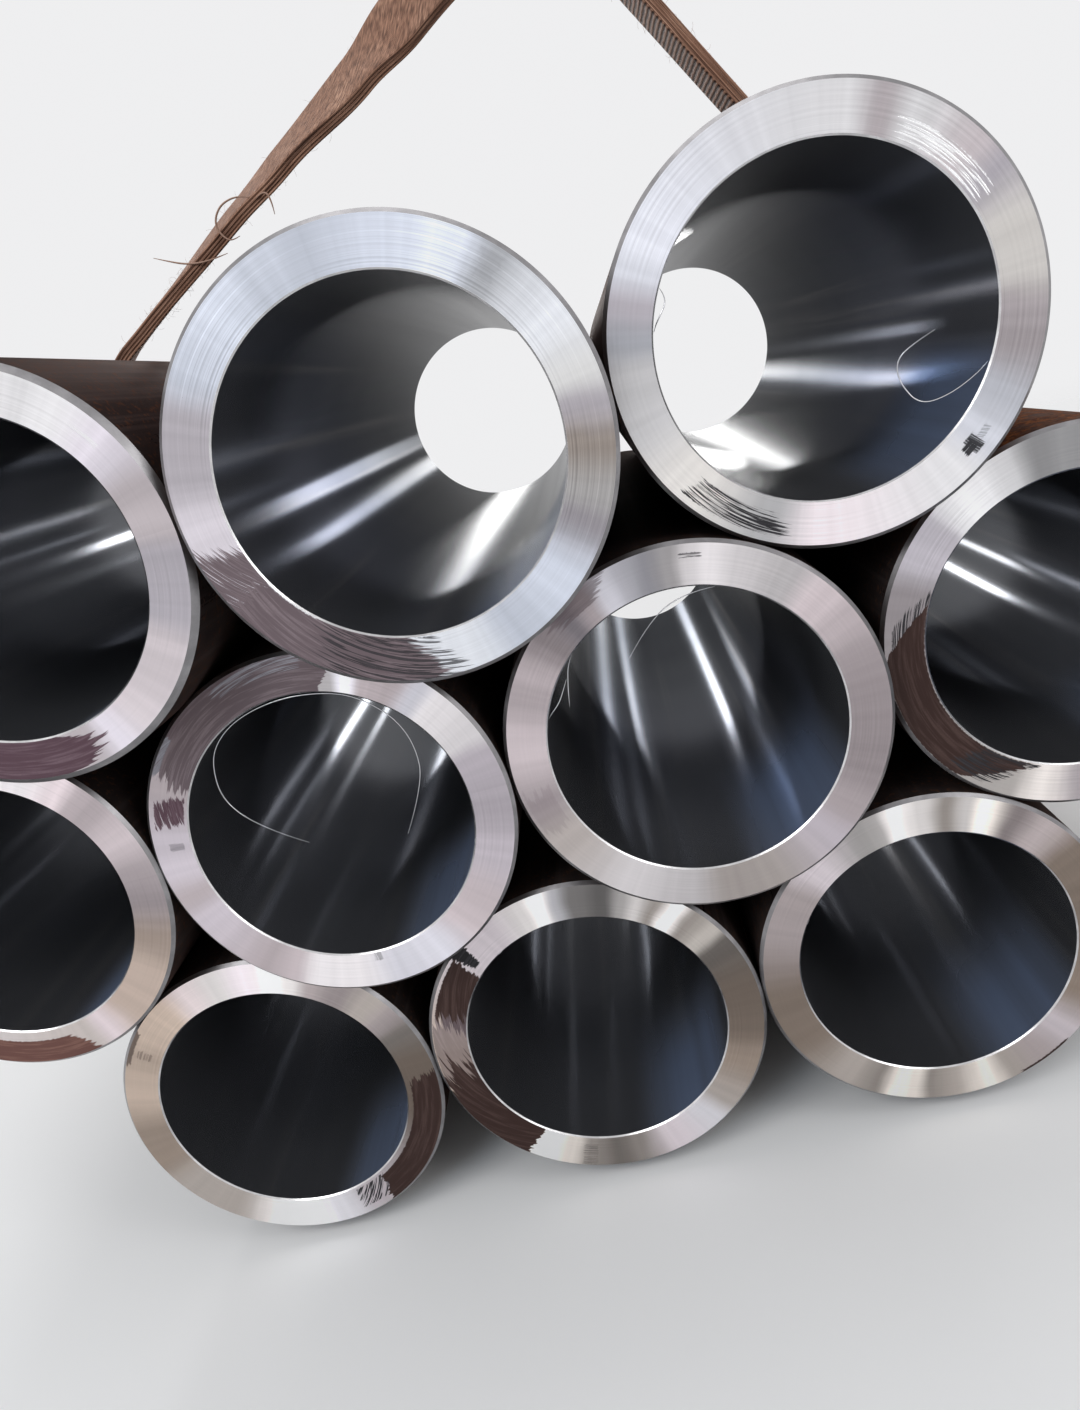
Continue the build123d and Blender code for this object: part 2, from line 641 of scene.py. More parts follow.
@dataclass(frozen=True)
class MillSkin:
    """Finish of the outside as rolled: smooth dark scale with drawn lines and a little rust.

    Attributes:
        colour: Colour of the scale.
        worn_colour: Colour where the scale is thin.
        blotch_colour: Colour of its blotches.
        rust_colour: Colour of the rust.
        dark_rust_colour: Colour between the specks of rust.
        rust_centre: Point round which one tube has rusted.
        rust_reach: How far the rust goes from there, in metres.
        line_depth: Depth of the drawn lines, in metres.
    """

    colour: Colour = (0.034, 0.025, 0.024)
    worn_colour: Colour = (0.062, 0.047, 0.045)
    blotch_colour: Colour = (0.075, 0.048, 0.040)
    rust_colour: Colour = (0.22, 0.085, 0.035)
    dark_rust_colour: Colour = (0.085, 0.038, 0.026)
    rust_centre: Point = (0.39, -0.29, 0.50)
    rust_reach: float = 0.10
    line_depth: float = 0.25 * MM

    def material(self) -> bpy.types.Material:
        """Makes the material.

        Returns:
            The material.
        """
        material, nodes, surface = new_material("mill_skin")
        point = nodes.object_point()
        drawn = nodes.noise(nodes.stretched(point, (1.0, 0.012, 1.0)), 150.0, 3.0, 0.6)
        blotches = nodes.noise(nodes.stretched(point, (1.0, 0.45, 1.0)), 16.0, 5.0, 0.65)
        specks = nodes.noise(point, 260.0, 2.0, 0.6)
        colour = nodes.blend(nodes.between(drawn, 0.45, 0.8), self.colour, self.worn_colour)
        blotched = nodes.between(blotches, 0.5, 0.72) * 0.6
        colour = nodes.blend(blotched, colour, self.blotch_colour)

        # Rust lies in one ragged patch, broken into flakes, and in faint specks everywhere
        rust_point = nodes.object_point(self.rust_centre)
        away = nodes.length(nodes.stretched(rust_point, (1.0, 0.5, 1.0)))
        patch = nodes.between(away - blotches * 0.10, self.rust_reach, 0.0)
        flakes = nodes.between(nodes.noise(point, 75.0, 5.0, 0.65), 0.36, 0.60)
        spots = nodes.between(specks, 0.56, 0.66) * 0.22
        rust = nodes.math("MAXIMUM", patch * nodes.spread(flakes, 0.25, 0.95), spots)
        shade = nodes.blend(nodes.between(specks, 0.42, 0.60), self.dark_rust_colour, self.rust_colour)
        nodes.feed(surface, {
            "Base Color": nodes.blend(rust, colour, shade),
            "Roughness": nodes.spread(blotches, 0.36, 0.60) + rust * 0.3,
            "Metallic": 0.4,
            "Specular IOR Level": 0.0,
            "Specular Tint": (0.35, 0.30, 0.28),
            "Normal": nodes.bump(specks * 0.5 + drawn, self.line_depth, 0.5),
        })
        return material


@dataclass(frozen=True)
class SlingTextile:
    """Finish of the sling's woven plies: brown yarn with painted shade in the weave's low places, lighter
    like copper where it is worn and where a painted highlight lies on the raised yarns.

    Attributes:
        colour: Colour of the yarn.
        painted_gap_shade_colour: Painted shade in the weave's low places.
        worn_colour: Colour where the yarn is worn, also of the painted highlight on raised yarns.
        grime_colour: Colour of the grime.
        rib_pitch: Distance between the ribs on the inner side.
        yarn_pitch: Distance between the yarns.
        slant: How much the yarns on the outer side run across it.
        weave_depth: Depth of the weave, in metres.
    """

    colour: Colour = (0.290, 0.142, 0.088)
    painted_gap_shade_colour: Colour = (0.040, 0.020, 0.015)
    worn_colour: Colour = (0.640, 0.400, 0.285)
    grime_colour: Colour = (0.10, 0.06, 0.05)
    rib_pitch: float = 4.6 * MM
    yarn_pitch: float = 1.6 * MM
    slant: float = 0.8
    weave_depth: float = 0.8 * MM

    def material(self) -> bpy.types.Material:
        """Makes the material.

        Returns:
            The material.
        """
        material, nodes, surface = new_material("sling_textile")
        uv = nodes.add("ShaderNodeUVMap", uv_map="UVMap").outputs[0]
        round_it, along, _ = nodes.parts(uv)
        side = nodes.result("ShaderNodeAttribute", output="Fac", attribute_name="side")
        point = nodes.object_point()
        uneven = nodes.noise(point, 90.0, 3.0, 0.6)

        # Ribs across the inner side, short slanted yarns on the outer side and lines along the edges
        rib_place = along * (2.0 * math.pi / self.rib_pitch) + uneven * 3.0
        ribs = nodes.math("SINE", rib_place) * 0.5 + 0.5
        slanted = nodes.vector(round_it * self.slant + along, along * -self.slant + round_it, 0.0)
        yarns = nodes.noise(nodes.stretched(slanted, (75.0, 480.0, 1.0)), 1.0, 4.0, 0.65)
        lines = nodes.noise(nodes.stretched(uv, (620.0, 14.0, 1.0)), 1.0, 3.0, 0.6)
        yarn_place = round_it * (2.0 * math.pi / self.yarn_pitch) + uneven * 2.0
        weave = nodes.math("SINE", yarn_place) * 0.18 + 0.5
        inner = nodes.between(side, -0.78, -0.92)
        outer = nodes.between(side, 0.78, 0.92)
        height = inner * (ribs - lines) + lines
        height = outer * (yarns - height) + height
        height = height * 0.75 + weave * 0.25

        # The lighter copper colour is partly wear and partly a painted highlight on the raised yarns, less on
        # the inner side
        worn = nodes.between(nodes.noise(point, 26.0, 3.0, 0.6), 0.40, 0.70)
        bright = nodes.spread(worn, 0.25, 0.85) * nodes.between(height, 0.42, 0.70)
        bright = bright * nodes.spread(inner, 1.0, 0.25)
        grime = nodes.noise(nodes.stretched(uv, (60.0, 9.0, 1.0)), 1.0, 3.0, 0.6)
        grime = nodes.between(grime, 0.55, 0.75) * 0.45
        # The weave's low places get a painted shade colour
        colour = nodes.blend(nodes.between(height, 0.28, 0.66), self.painted_gap_shade_colour, self.colour)
        colour = nodes.blend(bright, colour, self.worn_colour)
        nodes.feed(surface, {
            "Base Color": nodes.blend(grime, colour, self.grime_colour),
            "Roughness": 0.66,
            "Specular IOR Level": 0.25,
            "Sheen Weight": 0.12,
            "Sheen Roughness": 0.4,
            "Sheen Tint": (0.95, 0.72, 0.60),
            "Normal": nodes.bump(height, self.weave_depth, 0.9),
        })
        return material


@dataclass(frozen=True)
class ThreadFinish:
    """Finish of a very thin thread: one colour with a faint grain.

    Attributes:
        name: Name of the material.
        colour: Its colour.
        roughness: Its roughness.
        metallic: Its share of metal.
    """

    name: str
    colour: Colour
    roughness: float
    metallic: float = 0.0

    def material(self) -> bpy.types.Material:
        """Makes the material.

        Returns:
            The material.
        """
        material, nodes, surface = new_material(self.name)
        grain = nodes.noise(nodes.object_point(), 900.0)
        nodes.feed(surface, {
            "Base Color": nodes.blend(grain, darker(self.colour, 0.75), self.colour),
            "Roughness": self.roughness,
            "Metallic": self.metallic,
        })
        return material


class ShapeTree(Nodes):
    """One Geometry Nodes tree with named inputs, run to give a plain mesh.

    Args:
        name: Name of the tree.
    """

    def __init__(self, name: str) -> None:
        """Makes the tree, with geometry going in and coming out."""
        super().__init__(bpy.data.node_groups.new(name, "GeometryNodeTree"))
        for way in ("INPUT", "OUTPUT"):
            self.tree.interface.new_socket("Geometry", in_out=way, socket_type="NodeSocketGeometry")
        self.start = self.add("NodeGroupInput")
        self.end = self.add("NodeGroupOutput")

    def declare(self, name: str, kind: str = "NodeSocketFloat") -> Field:
        """Adds a named input and gives it."""
        self.tree.interface.new_socket(name, in_out="INPUT", socket_type=kind)
        return Field(self, self.start.outputs[name])

    def paint(self, geometry: Socket, material: Field, selection: Union[bool, Field] = True) -> Socket:
        """Sets a material on the selected faces."""
        inputs = {"Geometry": geometry, "Material": material, "Selection": selection}
        return self.add("GeometryNodeSetMaterial", inputs).outputs["Geometry"]

    def finish(self, geometry: Socket) -> None:
        """Realizes the instances and ends the tree."""
        realize = self.add("GeometryNodeRealizeInstances", {"Geometry": geometry})
        self.feed(self.end, {"Geometry": realize.outputs["Geometry"]})

    def run(self, name: str, values: dict[str, object],
            data: Union[bpy.types.ID, None] = None) -> bpy.types.Object:
        """Runs the tree on an object and makes a plain mesh of the result.

        Args:
            name: Name of the new object.
            values: Value of each named input.
            data: Mesh or curve that the tree starts from, or nothing.

        Returns:
            The new object, already in the scene.
        """
        source = bpy.data.objects.new(name + "_source", data or bpy.data.meshes.new(name + "_source"))
        bpy.context.scene.collection.objects.link(source)
        modifier = source.modifiers.new("shape", "NODES")
        modifier.node_group = self.tree
        for item in self.tree.interface.items_tree:
            if item.name in values:
                modifier[item.identifier] = values[item.name]
        graph = bpy.context.evaluated_depsgraph_get()
        mesh = bpy.data.meshes.new_from_object(source.evaluated_get(graph), depsgraph=graph)
        mesh.name = name
        bpy.data.objects.remove(source)
        return put_in_scene(name, mesh)


def put_in_scene(name: str, data: bpy.types.ID) -> bpy.types.Object:
    """Makes an object and links it to the scene.

    Args:
        name: Its name.
        data: Its mesh, camera or lamp.

    Returns:
        The object.
    """
    piece = bpy.data.objects.new(name, data)
    bpy.context.scene.collection.objects.link(piece)
    return piece


def report(piece: bpy.types.Object) -> None:
    """Logs a finished piece."""
    log.info("%s: %d faces", piece.name, len(piece.data.polygons))


@dataclass(frozen=True)
class TubeSize:
    """Section of every tube in the bundle, in metres."""

    outer_radius: float = 130.0 * MM
    bore_radius: float = 100.0 * MM
    rim_chamfer: float = 2.5 * MM
    wide_rim_chamfer: float = 4.0 * MM
    bore_break: float = 1.0 * MM
    segments: int = 256


@dataclass
class Tube:
    """One cut of honed tube.

    Attributes:
        node: Name of its node in the frame.
        end: Finish of its faced ends.
        wide_rim: Whether its rims have the wide chamfer.
        size: Section shared by all the tubes.
    """

    node: str
    end: FacedEnd
    wide_rim: bool = False
    size: TubeSize = TubeSize()

    def make(self, tree: ShapeTree, finishes: dict[str, bpy.types.Material]) -> bpy.types.Object:
        """Makes the tube and puts it in place of its node.

        Args:
            tree: Geometry Nodes tree that turns a tube.
            finishes: Materials of the bore, its edge, the rim's chamfer and the outside.

        Returns:
            The finished piece.
        """
        size = self.size
        low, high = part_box(self.node)
        centre = tuple((a + b) / 2.0 for a, b in zip(low, high))
        piece = tree.run("looks_" + self.node, {
            "Centre": centre,
            "Length": high[1] - low[1],
            "Outer Radius": size.outer_radius,
            "Bore Radius": size.bore_radius,
            "Rim Chamfer": size.wide_rim_chamfer if self.wide_rim else size.rim_chamfer,
            "Bore Break": size.bore_break,
            "Segments": size.segments,
            "End": self.end.material("end_" + self.node, centre, size.bore_radius, size.outer_radius),
            **finishes,
        })
        piece.data.shade_smooth()
        piece.data.set_sharp_from_angle(angle=math.radians(SHARP_ANGLE))
        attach(piece, BODY)
        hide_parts(self.node)
        report(piece)
        return piece


def turned_tube_tree() -> ShapeTree:
    """Builds the tree that turns a tube from its section, with its axis along Y.

    Returns:
        The tree.
    """
    tree = ShapeTree("turned_tube")
    centre = tree.declare("Centre", "NodeSocketVector")
    length = tree.declare("Length")
    outer = tree.declare("Outer Radius")
    inner = tree.declare("Bore Radius")
    rim_chamfer = tree.declare("Rim Chamfer")
    bore_break = tree.declare("Bore Break")
    segments = tree.declare("Segments", "NodeSocketInt")
    names = ("End", "Bore", "Edge", "Rim", "Skin")
    paints = {name: tree.declare(name, "NodeSocketMaterial") for name in names}
    position = tree.add("GeometryNodeInputPosition").outputs[0]

    # The wall's section: a rectangle with its four corners cut off
    middle = (outer + inner) * 0.5
    wall = {"Width": outer - inner, "Height": length}
    section = tree.add("GeometryNodeCurvePrimitiveQuadrilateral", wall, mode="RECTANGLE")
    at_rim = tree.math("GREATER_THAN", tree.parts(position)[0], 0.0)
    corners = {"Switch": at_rim, "False": bore_break, "True": rim_chamfer}
    cut = tree.add("GeometryNodeSwitch", corners, input_type="FLOAT").outputs[0]
    cuts = {"Curve": section.outputs["Curve"], "Radius": cut, "Count": 1}
    fillet = tree.add("GeometryNodeFilletCurve", cuts, mode="POLY")

    # The section goes once round the axis
    round_axis = {"Resolution": segments, "Radius": middle}
    path = tree.add("GeometryNodeCurvePrimitiveCircle", round_axis, mode="RADIUS")
    sweep = tree.add("GeometryNodeCurveToMesh", {
        "Curve": path.outputs["Curve"],
        "Profile Curve": fillet.outputs["Curve"],
    })
    turned = tree.add("GeometryNodeTransform", {
        "Geometry": sweep.outputs["Mesh"],
        "Translation": centre,
        "Rotation": (math.pi / 2.0, 0.0, 0.0),
    })

    # Each face is told by where it lies and where it points
    nearly_across, nearly_along = 0.1, 0.95
    offset = tree.add("ShaderNodeVectorMath", {0: position, 1: centre}, operation="SUBTRACT").outputs[0]
    is_outer = tree.math("GREATER_THAN", tree.length(tree.stretched(offset, (1.0, 0.0, 1.0))), middle)
    normal = tree.add("GeometryNodeInputNormal").outputs[0]
    lengthwise = tree.math("ABSOLUTE", tree.parts(normal)[1])
    is_wall = tree.math("LESS_THAN", lengthwise, nearly_across)
    is_end = tree.math("GREATER_THAN", lengthwise, nearly_along)
    shape = turned.outputs["Geometry"]
    chosen = {"Edge": True, "Rim": is_outer, "Bore": is_wall, "Skin": is_wall * is_outer, "End": is_end}
    for name, faces in chosen.items():
        shape = tree.paint(shape, paints[name], faces)
    tree.finish(shape)
    return tree


@dataclass(frozen=True)
class RouteStop:
    """One cross-section of the sling's route.

    Attributes:
        place: Middle of the sling there, as X and Z.
        outward: Direction away from what it goes round, as X and Z.
        distance: How far along the loop it is.
        twist: Degrees by which its outer face is turned towards the photographed side.
    """

    place: Vector
    outward: Vector
    distance: float
    twist: float


@dataclass
class LiftingSling:
    """Flat textile sling of several plies round the bundle, with two legs drawn up to an eye.

    Attributes:
        node: Name of its node in the frame.
        width: Width of the flat sling.
        thickness: Thickness of the flat sling.
        clearance: Gap between the sling and what it bears on.
        tube_radius: Outer radius of the tubes it goes round.
        saddle_radius: Inner radius of the eye.
        eye: Middle of the eye, as X and Z.
        step: Distance between two cross-sections.
        plies: Number of plies that show along its edges.
        ply_points: Points of the outline along one ply's edge.
        face_points: Points of the outline across the sling.
        groove: Depth of the grooves between the plies, as a share of the half width.
        crown: How much thinner the sling is at its edges, as a share of the half thickness.
        looseness: How much the plies shift sideways, as a share of the half width.
        leg_twist: Shares of the left leg from the eye down, each with the twist there in degrees.
        leg_lift: Shares of the left leg, each with how far its folds hold it off its straight line there.
    """

    node: str = "lifting_sling"
    width: float = 55.0 * MM
    thickness: float = 12.0 * MM
    clearance: float = 0.3 * MM
    tube_radius: float = 130.0 * MM
    saddle_radius: float = 40.0 * MM
    eye: Range = (162.3 * MM, 935.15 * MM)
    step: float = 5.0 * MM
    plies: int = 4
    ply_points: int = 6
    face_points: int = 16
    groove: float = 0.07
    crown: float = 0.05
    looseness: float = 0.022
    leg_twist: tuple[Range, ...] = ((-0.13, 0.0), (0.0, 44.0), (0.10, 64.0), (0.19, 62.0), (0.30, 44.0),
                                    (0.48, 31.0), (0.60, 25.0), (0.84, 17.0), (0.93, 15.0), (1.02, 2.0),
                                    (1.08, 0.0))
    leg_lift: tuple[Range, ...] = ((-0.05, 0.0), (0.16, 6.0 * MM), (0.30, 6.0 * MM), (0.50, 11.0 * MM),
                                   (0.63, 13.0 * MM), (0.89, 13.0 * MM), (1.0, 5.0 * MM), (1.1, 0.0))

    def circles(self) -> list[tuple[Vector, float]]:
        """Finds the circles that the loop goes round, anticlockwise seen from the front.

        Returns:
            Their middles and radii.
        """

        def round_tube(name: str) -> tuple[Vector, float]:
            """Circle of one tube."""
            low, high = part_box(name)
            return Vector(((low[0] + high[0]) / 2.0, (low[2] + high[2]) / 2.0)), self.tube_radius

        right = ("pipe_bottom_left", "pipe_bottom_right", "pipe_middle_far_right", "pipe_top_right")
        left = ("pipe_top_left", "pipe_middle_far_left")
        saddle = (Vector(self.eye), self.saddle_radius - self.clearance)
        return [*map(round_tube, right), saddle, *map(round_tube, left)]

    def route(self) -> list[RouteStop]:
        """Works out the middle line of the loop.

        Returns:
            Its cross-sections in order.
        """
        lift = self.clearance + self.thickness / 2.0
        circles = [(centre, radius + lift) for centre, radius in self.circles()]
        following = circles[1:] + circles[:1]

        # Heading of each straight run between two circles
        headings = []
        for (start, first), (end, second) in zip(circles, following):
            run = end - start
            tilt = math.asin((first - second) / run.length)
            headings.append(math.atan2(run.y, run.x) - math.pi / 2.0 + tilt)
        points: list[tuple[Vector, Vector]] = []
        left_leg = (0.0, 1.0)
        travelled = 0.0
        for index, ((centre, radius), (next_centre, next_radius)) in enumerate(zip(circles, following)):
            arrive, leave = headings[index - 1], headings[index]
            turn = (leave - arrive) % (2.0 * math.pi)
            arc_steps = max(3, round(turn * radius / self.step))
            for part in range(arc_steps + 1):
                angle = arrive + turn * part / arc_steps
                outward = Vector((math.cos(angle), math.sin(angle)))
                points.append((centre + radius * outward, outward))
            travelled += turn * radius
            outward = Vector((math.cos(leave), math.sin(leave)))
            start, end = centre + radius * outward, next_centre + next_radius * outward
            run_length = (end - start).length
            run_steps = max(2, round(run_length / self.step))
            points += [(start.lerp(end, part / run_steps), outward) for part in range(1, run_steps)]
            if radius < self.tube_radius:
                left_leg = (travelled, travelled + run_length)
            travelled += run_length

        stops = []
        distance = 0.0
        for index, (place, outward) in enumerate(points):
            if index:
                distance += (place - points[index - 1][0]).length
            down_leg = (distance - left_leg[0]) / (left_leg[1] - left_leg[0])
            lifted = place + self.eased(self.leg_lift, down_leg) * outward
            stops.append(RouteStop(lifted, outward, distance, self.eased(self.leg_twist, down_leg)))
        return stops

    @staticmethod
    def eased(keys: tuple[Range, ...], place: float) -> float:
        """Runs smoothly from each key's value to the next one's, and is 0 beyond the keys.

        Args:
            keys: Places in order, each with its value.
            place: Place to find the value of.

        Returns:
            The value.
        """
        for (before, first), (after, second) in zip(keys, keys[1:]):
            if before < place <= after:
                share = (place - before) / (after - before)
                return first + (second - first) * (0.5 - 0.5 * math.cos(math.pi * share))
        return 0.0

    def section(self) -> list[Range]:
        """Draws the outline of the plies pressed flat.

        Returns:
            Its points, as shares of the half width and the half thickness.
        """
        reach = 1.0 - self.groove
        face = [reach - 2.0 * reach * part / self.face_points for part in range(self.face_points)]
        half = [(across, 1.0 - self.crown * across * across) for across in face]
        steps = self.plies * self.ply_points
        for part in range(steps):
            share = part / steps
            round_ply = abs(math.sin(math.pi * self.plies * share)) ** 0.4
            across = 1.0 - self.groove * (1.0 - round_ply)
            half.append((-across, (1.0 - 2.0 * share) * (1.0 - self.crown)))
        return half + [(-across, -through) for across, through in half]

    def corners(self, stops: list[RouteStop], outline: list[Range]) -> list[Point]:
        """Places the corners of the mesh, with the plies a little loose.

        Args:
            stops: Cross-sections of the route.
            outline: Outline of a cross-section.

        Returns:
            The corners, cross-section by cross-section.
        """
        low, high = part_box(self.node)
        middle_y = (low[1] + high[1]) / 2.0
        corners = []
        for stop in stops:
            cosine, sine = math.cos(math.radians(stop.twist)), math.sin(math.radians(stop.twist))
            for across, through in outline:
                ply = math.floor((through + 1.0) * self.plies / 2.0)
                loose = noise.noise(Vector((9.0 * stop.distance, 3.7 * ply, math.copysign(5.0, across))))
                side = across * (self.width / 2.0) * (1.0 + self.looseness * loose - self.looseness)
                depth = through * self.thickness / 2.0
                out = depth * cosine + side * sine
                corners.append((stop.place.x + stop.outward.x * out, middle_y + side * cosine - depth * sine,
                                stop.place.y + stop.outward.y * out))
        return corners

    def make(self, material: bpy.types.Material) -> bpy.types.Object:
        """Makes the sling and puts it in place of its node.

        Args:
            material: Its material.

        Returns:
            The finished piece.
        """
        stops = self.route()
        outline = self.section()
        rows, columns = len(stops), len(outline)
        faces = []
        for row in range(rows):
            here, ahead = row * columns, (row + 1) % rows * columns
            for column in range(columns):
                beside = (column + 1) % columns
                faces.append((here + column, ahead + column, ahead + beside, here + beside))
        mesh = bpy.data.meshes.new("looks_lifting_sling")
        mesh.from_pydata(self.corners(stops, outline), [], faces)

        # The weave follows the distance round the section and along the loop
        round_it = [0.0]
        for before, after in zip(outline, outline[1:] + outline[:1]):
            round_it.append(round_it[-1] + math.hypot((after[0] - before[0]) * self.width / 2.0,
                                                      (after[1] - before[1]) * self.thickness / 2.0))
        along_it = [stop.distance for stop in stops]
        along_it.append(along_it[-1] + (stops[0].place - stops[-1].place).length)
        layer = mesh.uv_layers.new(name="UVMap")
        for index, face in enumerate(mesh.polygons):
            row, column = divmod(index, columns)
            places = ((column, row), (column, row + 1), (column + 1, row + 1), (column + 1, row))
            for loop, (across, along) in zip(face.loop_indices, places):
                layer.data[loop].uv = (round_it[across], along_it[along])
        sides = mesh.attributes.new("side", "FLOAT", "POINT")
        sides.data.foreach_set("value", [through for _ in stops for _, through in outline])
        mesh.shade_smooth()
        mesh.materials.append(material)
        piece = put_in_scene("looks_lifting_sling", mesh)
        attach(piece, BODY)
        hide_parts(self.node)
        report(piece)
        return piece


@dataclass
class SlingFibres:
    """Short bent fibres that stand on the sling.

    Attributes:
        density: Number of fibres on each square metre.
        length: Length of the longest.
        radius: Their radius.
        lowest: Height below which there are none.
        free_above: Height above which they stand on all sides of the free legs.
        seed: Seed of their places and turns.
    """

    density: float = 4200.0
    length: float = 9.0 * MM
    radius: float = 0.10 * MM
    lowest: float = 60.0 * MM
    free_above: float = 745.0 * MM
    seed: int = 11

    def tree(self) -> ShapeTree:
        """Builds the tree that stands the fibres on a mesh.

        Returns:
            The tree.
        """
        tree = ShapeTree("fibres")
        density, length, radius, lowest, free_above = (
            tree.declare(name) for name in ("Density", "Length", "Radius", "Lowest", "Free Above"))
        paint = tree.declare("Material", "NodeSocketMaterial")
        seed = tree.declare("Seed", "NodeSocketInt")

        # Fibres stand on the outer side everywhere and on all sides of the free legs
        height = tree.parts(tree.add("GeometryNodeInputPosition").outputs[0])[2]
        side = tree.result("GeometryNodeInputNamedAttribute", {"Name": "side"}, data_type="FLOAT")
        outer = tree.math("GREATER_THAN", side, -0.4) * tree.math("GREATER_THAN", height, lowest)
        scatter = tree.add("GeometryNodeDistributePointsOnFaces", {
            "Mesh": tree.start.outputs["Geometry"],
            "Selection": tree.math("MAXIMUM", tree.math("GREATER_THAN", height, free_above), outer),
            "Density": density,
            "Seed": seed,
        })

        # One fibre is bent over and is as long as its instance is large
        bend = tree.add("GeometryNodeCurveQuadraticBezier", {
            "Resolution": 4,
            "Start": (0.0, 0.0, 0.0),
            "Middle": (0.15, 0.0, 0.5),
            "End": (0.75, 0.2, 0.55),
        })
        profile = tree.add("GeometryNodeCurvePrimitiveCircle", {"Resolution": 3, "Radius": radius / length},
                           mode="RADIUS")
        fibre = tree.add("GeometryNodeCurveToMesh", {
            "Curve": bend.outputs["Curve"],
            "Profile Curve": profile.outputs["Curve"],
            "Fill Caps": True,
        })
        turns = {"Min": (-0.7, -0.7, 0.0), "Max": (0.7, 0.7, 2.0 * math.pi), "Seed": seed}
        spin = tree.add("FunctionNodeRandomValue", turns, data_type="FLOAT_VECTOR")
        turned = tree.add("FunctionNodeRotateRotation", {
            "Rotation": scatter.outputs["Rotation"],
            "Rotate By": spin.outputs[0],
        }, rotation_space="LOCAL")
        sizes = {"Min": 0.35, "Max": 1.0, "Seed": seed}
        size = tree.add("FunctionNodeRandomValue", sizes, data_type="FLOAT")
        instances = tree.add("GeometryNodeInstanceOnPoints", {
            "Points": scatter.outputs["Points"],
            "Instance": fibre.outputs["Mesh"],
            "Rotation": turned.outputs[0],
            "Scale": Field(tree, size.outputs[1]) * length,
        })
        tree.finish(tree.paint(instances.outputs["Instances"], paint))
        return tree

    def make(self, sling: bpy.types.Object, material: bpy.types.Material) -> bpy.types.Object:
        """Makes the fibres.

        Args:
            sling: The sling that they stand on.
            material: Their material.

        Returns:
            The finished piece.
        """
        fibres = self.tree().run("sling_fibres", {
            "Density": self.density,
            "Length": self.length,
            "Radius": self.radius,
            "Lowest": self.lowest,
            "Free Above": self.free_above,
            "Material": material,
            "Seed": self.seed,
        }, sling.data)
        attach(fibres, BODY)
        report(fibres)
        return fibres


def thread_tree() -> ShapeTree:
    """Builds the tree that gives a curve its thickness, tapered to its ends.

    Returns:
        The tree.
    """
    tree = ShapeTree("thread")
    radius = tree.declare("Radius")
    paint = tree.declare("Material", "NodeSocketMaterial")
    thinnest, blunt = 0.02, 0.3
    along = tree.result("GeometryNodeSplineParameter", output="Factor")
    to_ends = along * (1.0 - along) * 4.0
    taper = tree.add("GeometryNodeSetCurveRadius", {
        "Curve": tree.start.outputs["Geometry"],
        "Radius": tree.math("POWER", tree.math("MAXIMUM", to_ends, thinnest), blunt),
    })
    profile = tree.add("GeometryNodeCurvePrimitiveCircle", {"Resolution": 6, "Radius": radius}, mode="RADIUS")
    sweep = tree.add("GeometryNodeCurveToMesh", {
        "Curve": taper.outputs["Curve"],
        "Profile Curve": profile.outputs["Curve"],
        "Scale": tree.add("GeometryNodeInputRadius").outputs[0],
        "Fill Caps": True,
    })
    tree.finish(tree.paint(sweep.outputs["Mesh"], paint))
    return tree


@dataclass(frozen=True)
class Thread:
    """One fine thread, of swarf on an end or of loose yarn on the sling.

    Attributes:
        name: Name of the piece.
        points: Points that it follows, in metres.
        radius: Its radius.
        slot: Name of a material slot; not used.
    """

    name: str
    points: tuple[Point, ...]
    radius: float
    slot: str

    def make(self, tree: ShapeTree, material: bpy.types.Material) -> bpy.types.Object:
        """Makes the thread.

        Args:
            tree: Geometry Nodes tree that gives it its thickness.
            material: Its material.

        Returns:
            The finished piece.
        """
        curve = bpy.data.curves.new(self.name + "_route", "CURVE")
        curve.dimensions = "3D"
        curve.resolution_u = 8
        spline = curve.splines.new("NURBS")
        spline.points.add(len(self.points) - 1)
        for target, point in zip(spline.points, self.points):
            target.co = (*point, 1.0)
        spline.order_u = 3
        spline.use_endpoint_u = True
        piece = tree.run(self.name, {"Radius": self.radius, "Material": material}, curve)
        piece.data.shade_smooth()
        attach(piece, BODY)
        report(piece)
        return piece


def swarf(name: str, node: str, curl: tuple[Point, ...]) -> Thread:
    """Places a curl of swarf that is caught on the edge of a bore.

    Args:
        name: Name of the piece.
        node: Tube that it is caught on.
        curl: Its points, each as degrees round the tube, millimetres from the axis and from the end.

    Returns:
        The thread.
    """
    low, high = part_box(node)
    middle_x, middle_z = (low[0] + high[0]) / 2.0, (low[2] + high[2]) / 2.0
    points = []
    for degrees, reach, inwards in curl:
        angle = math.radians(degrees)
        points.append((middle_x + reach * MM * math.cos(angle), low[1] + inwards * MM,
                       middle_z + reach * MM * math.sin(angle)))
    return Thread(name, tuple(points), SWARF_RADIUS, "tube_steel")


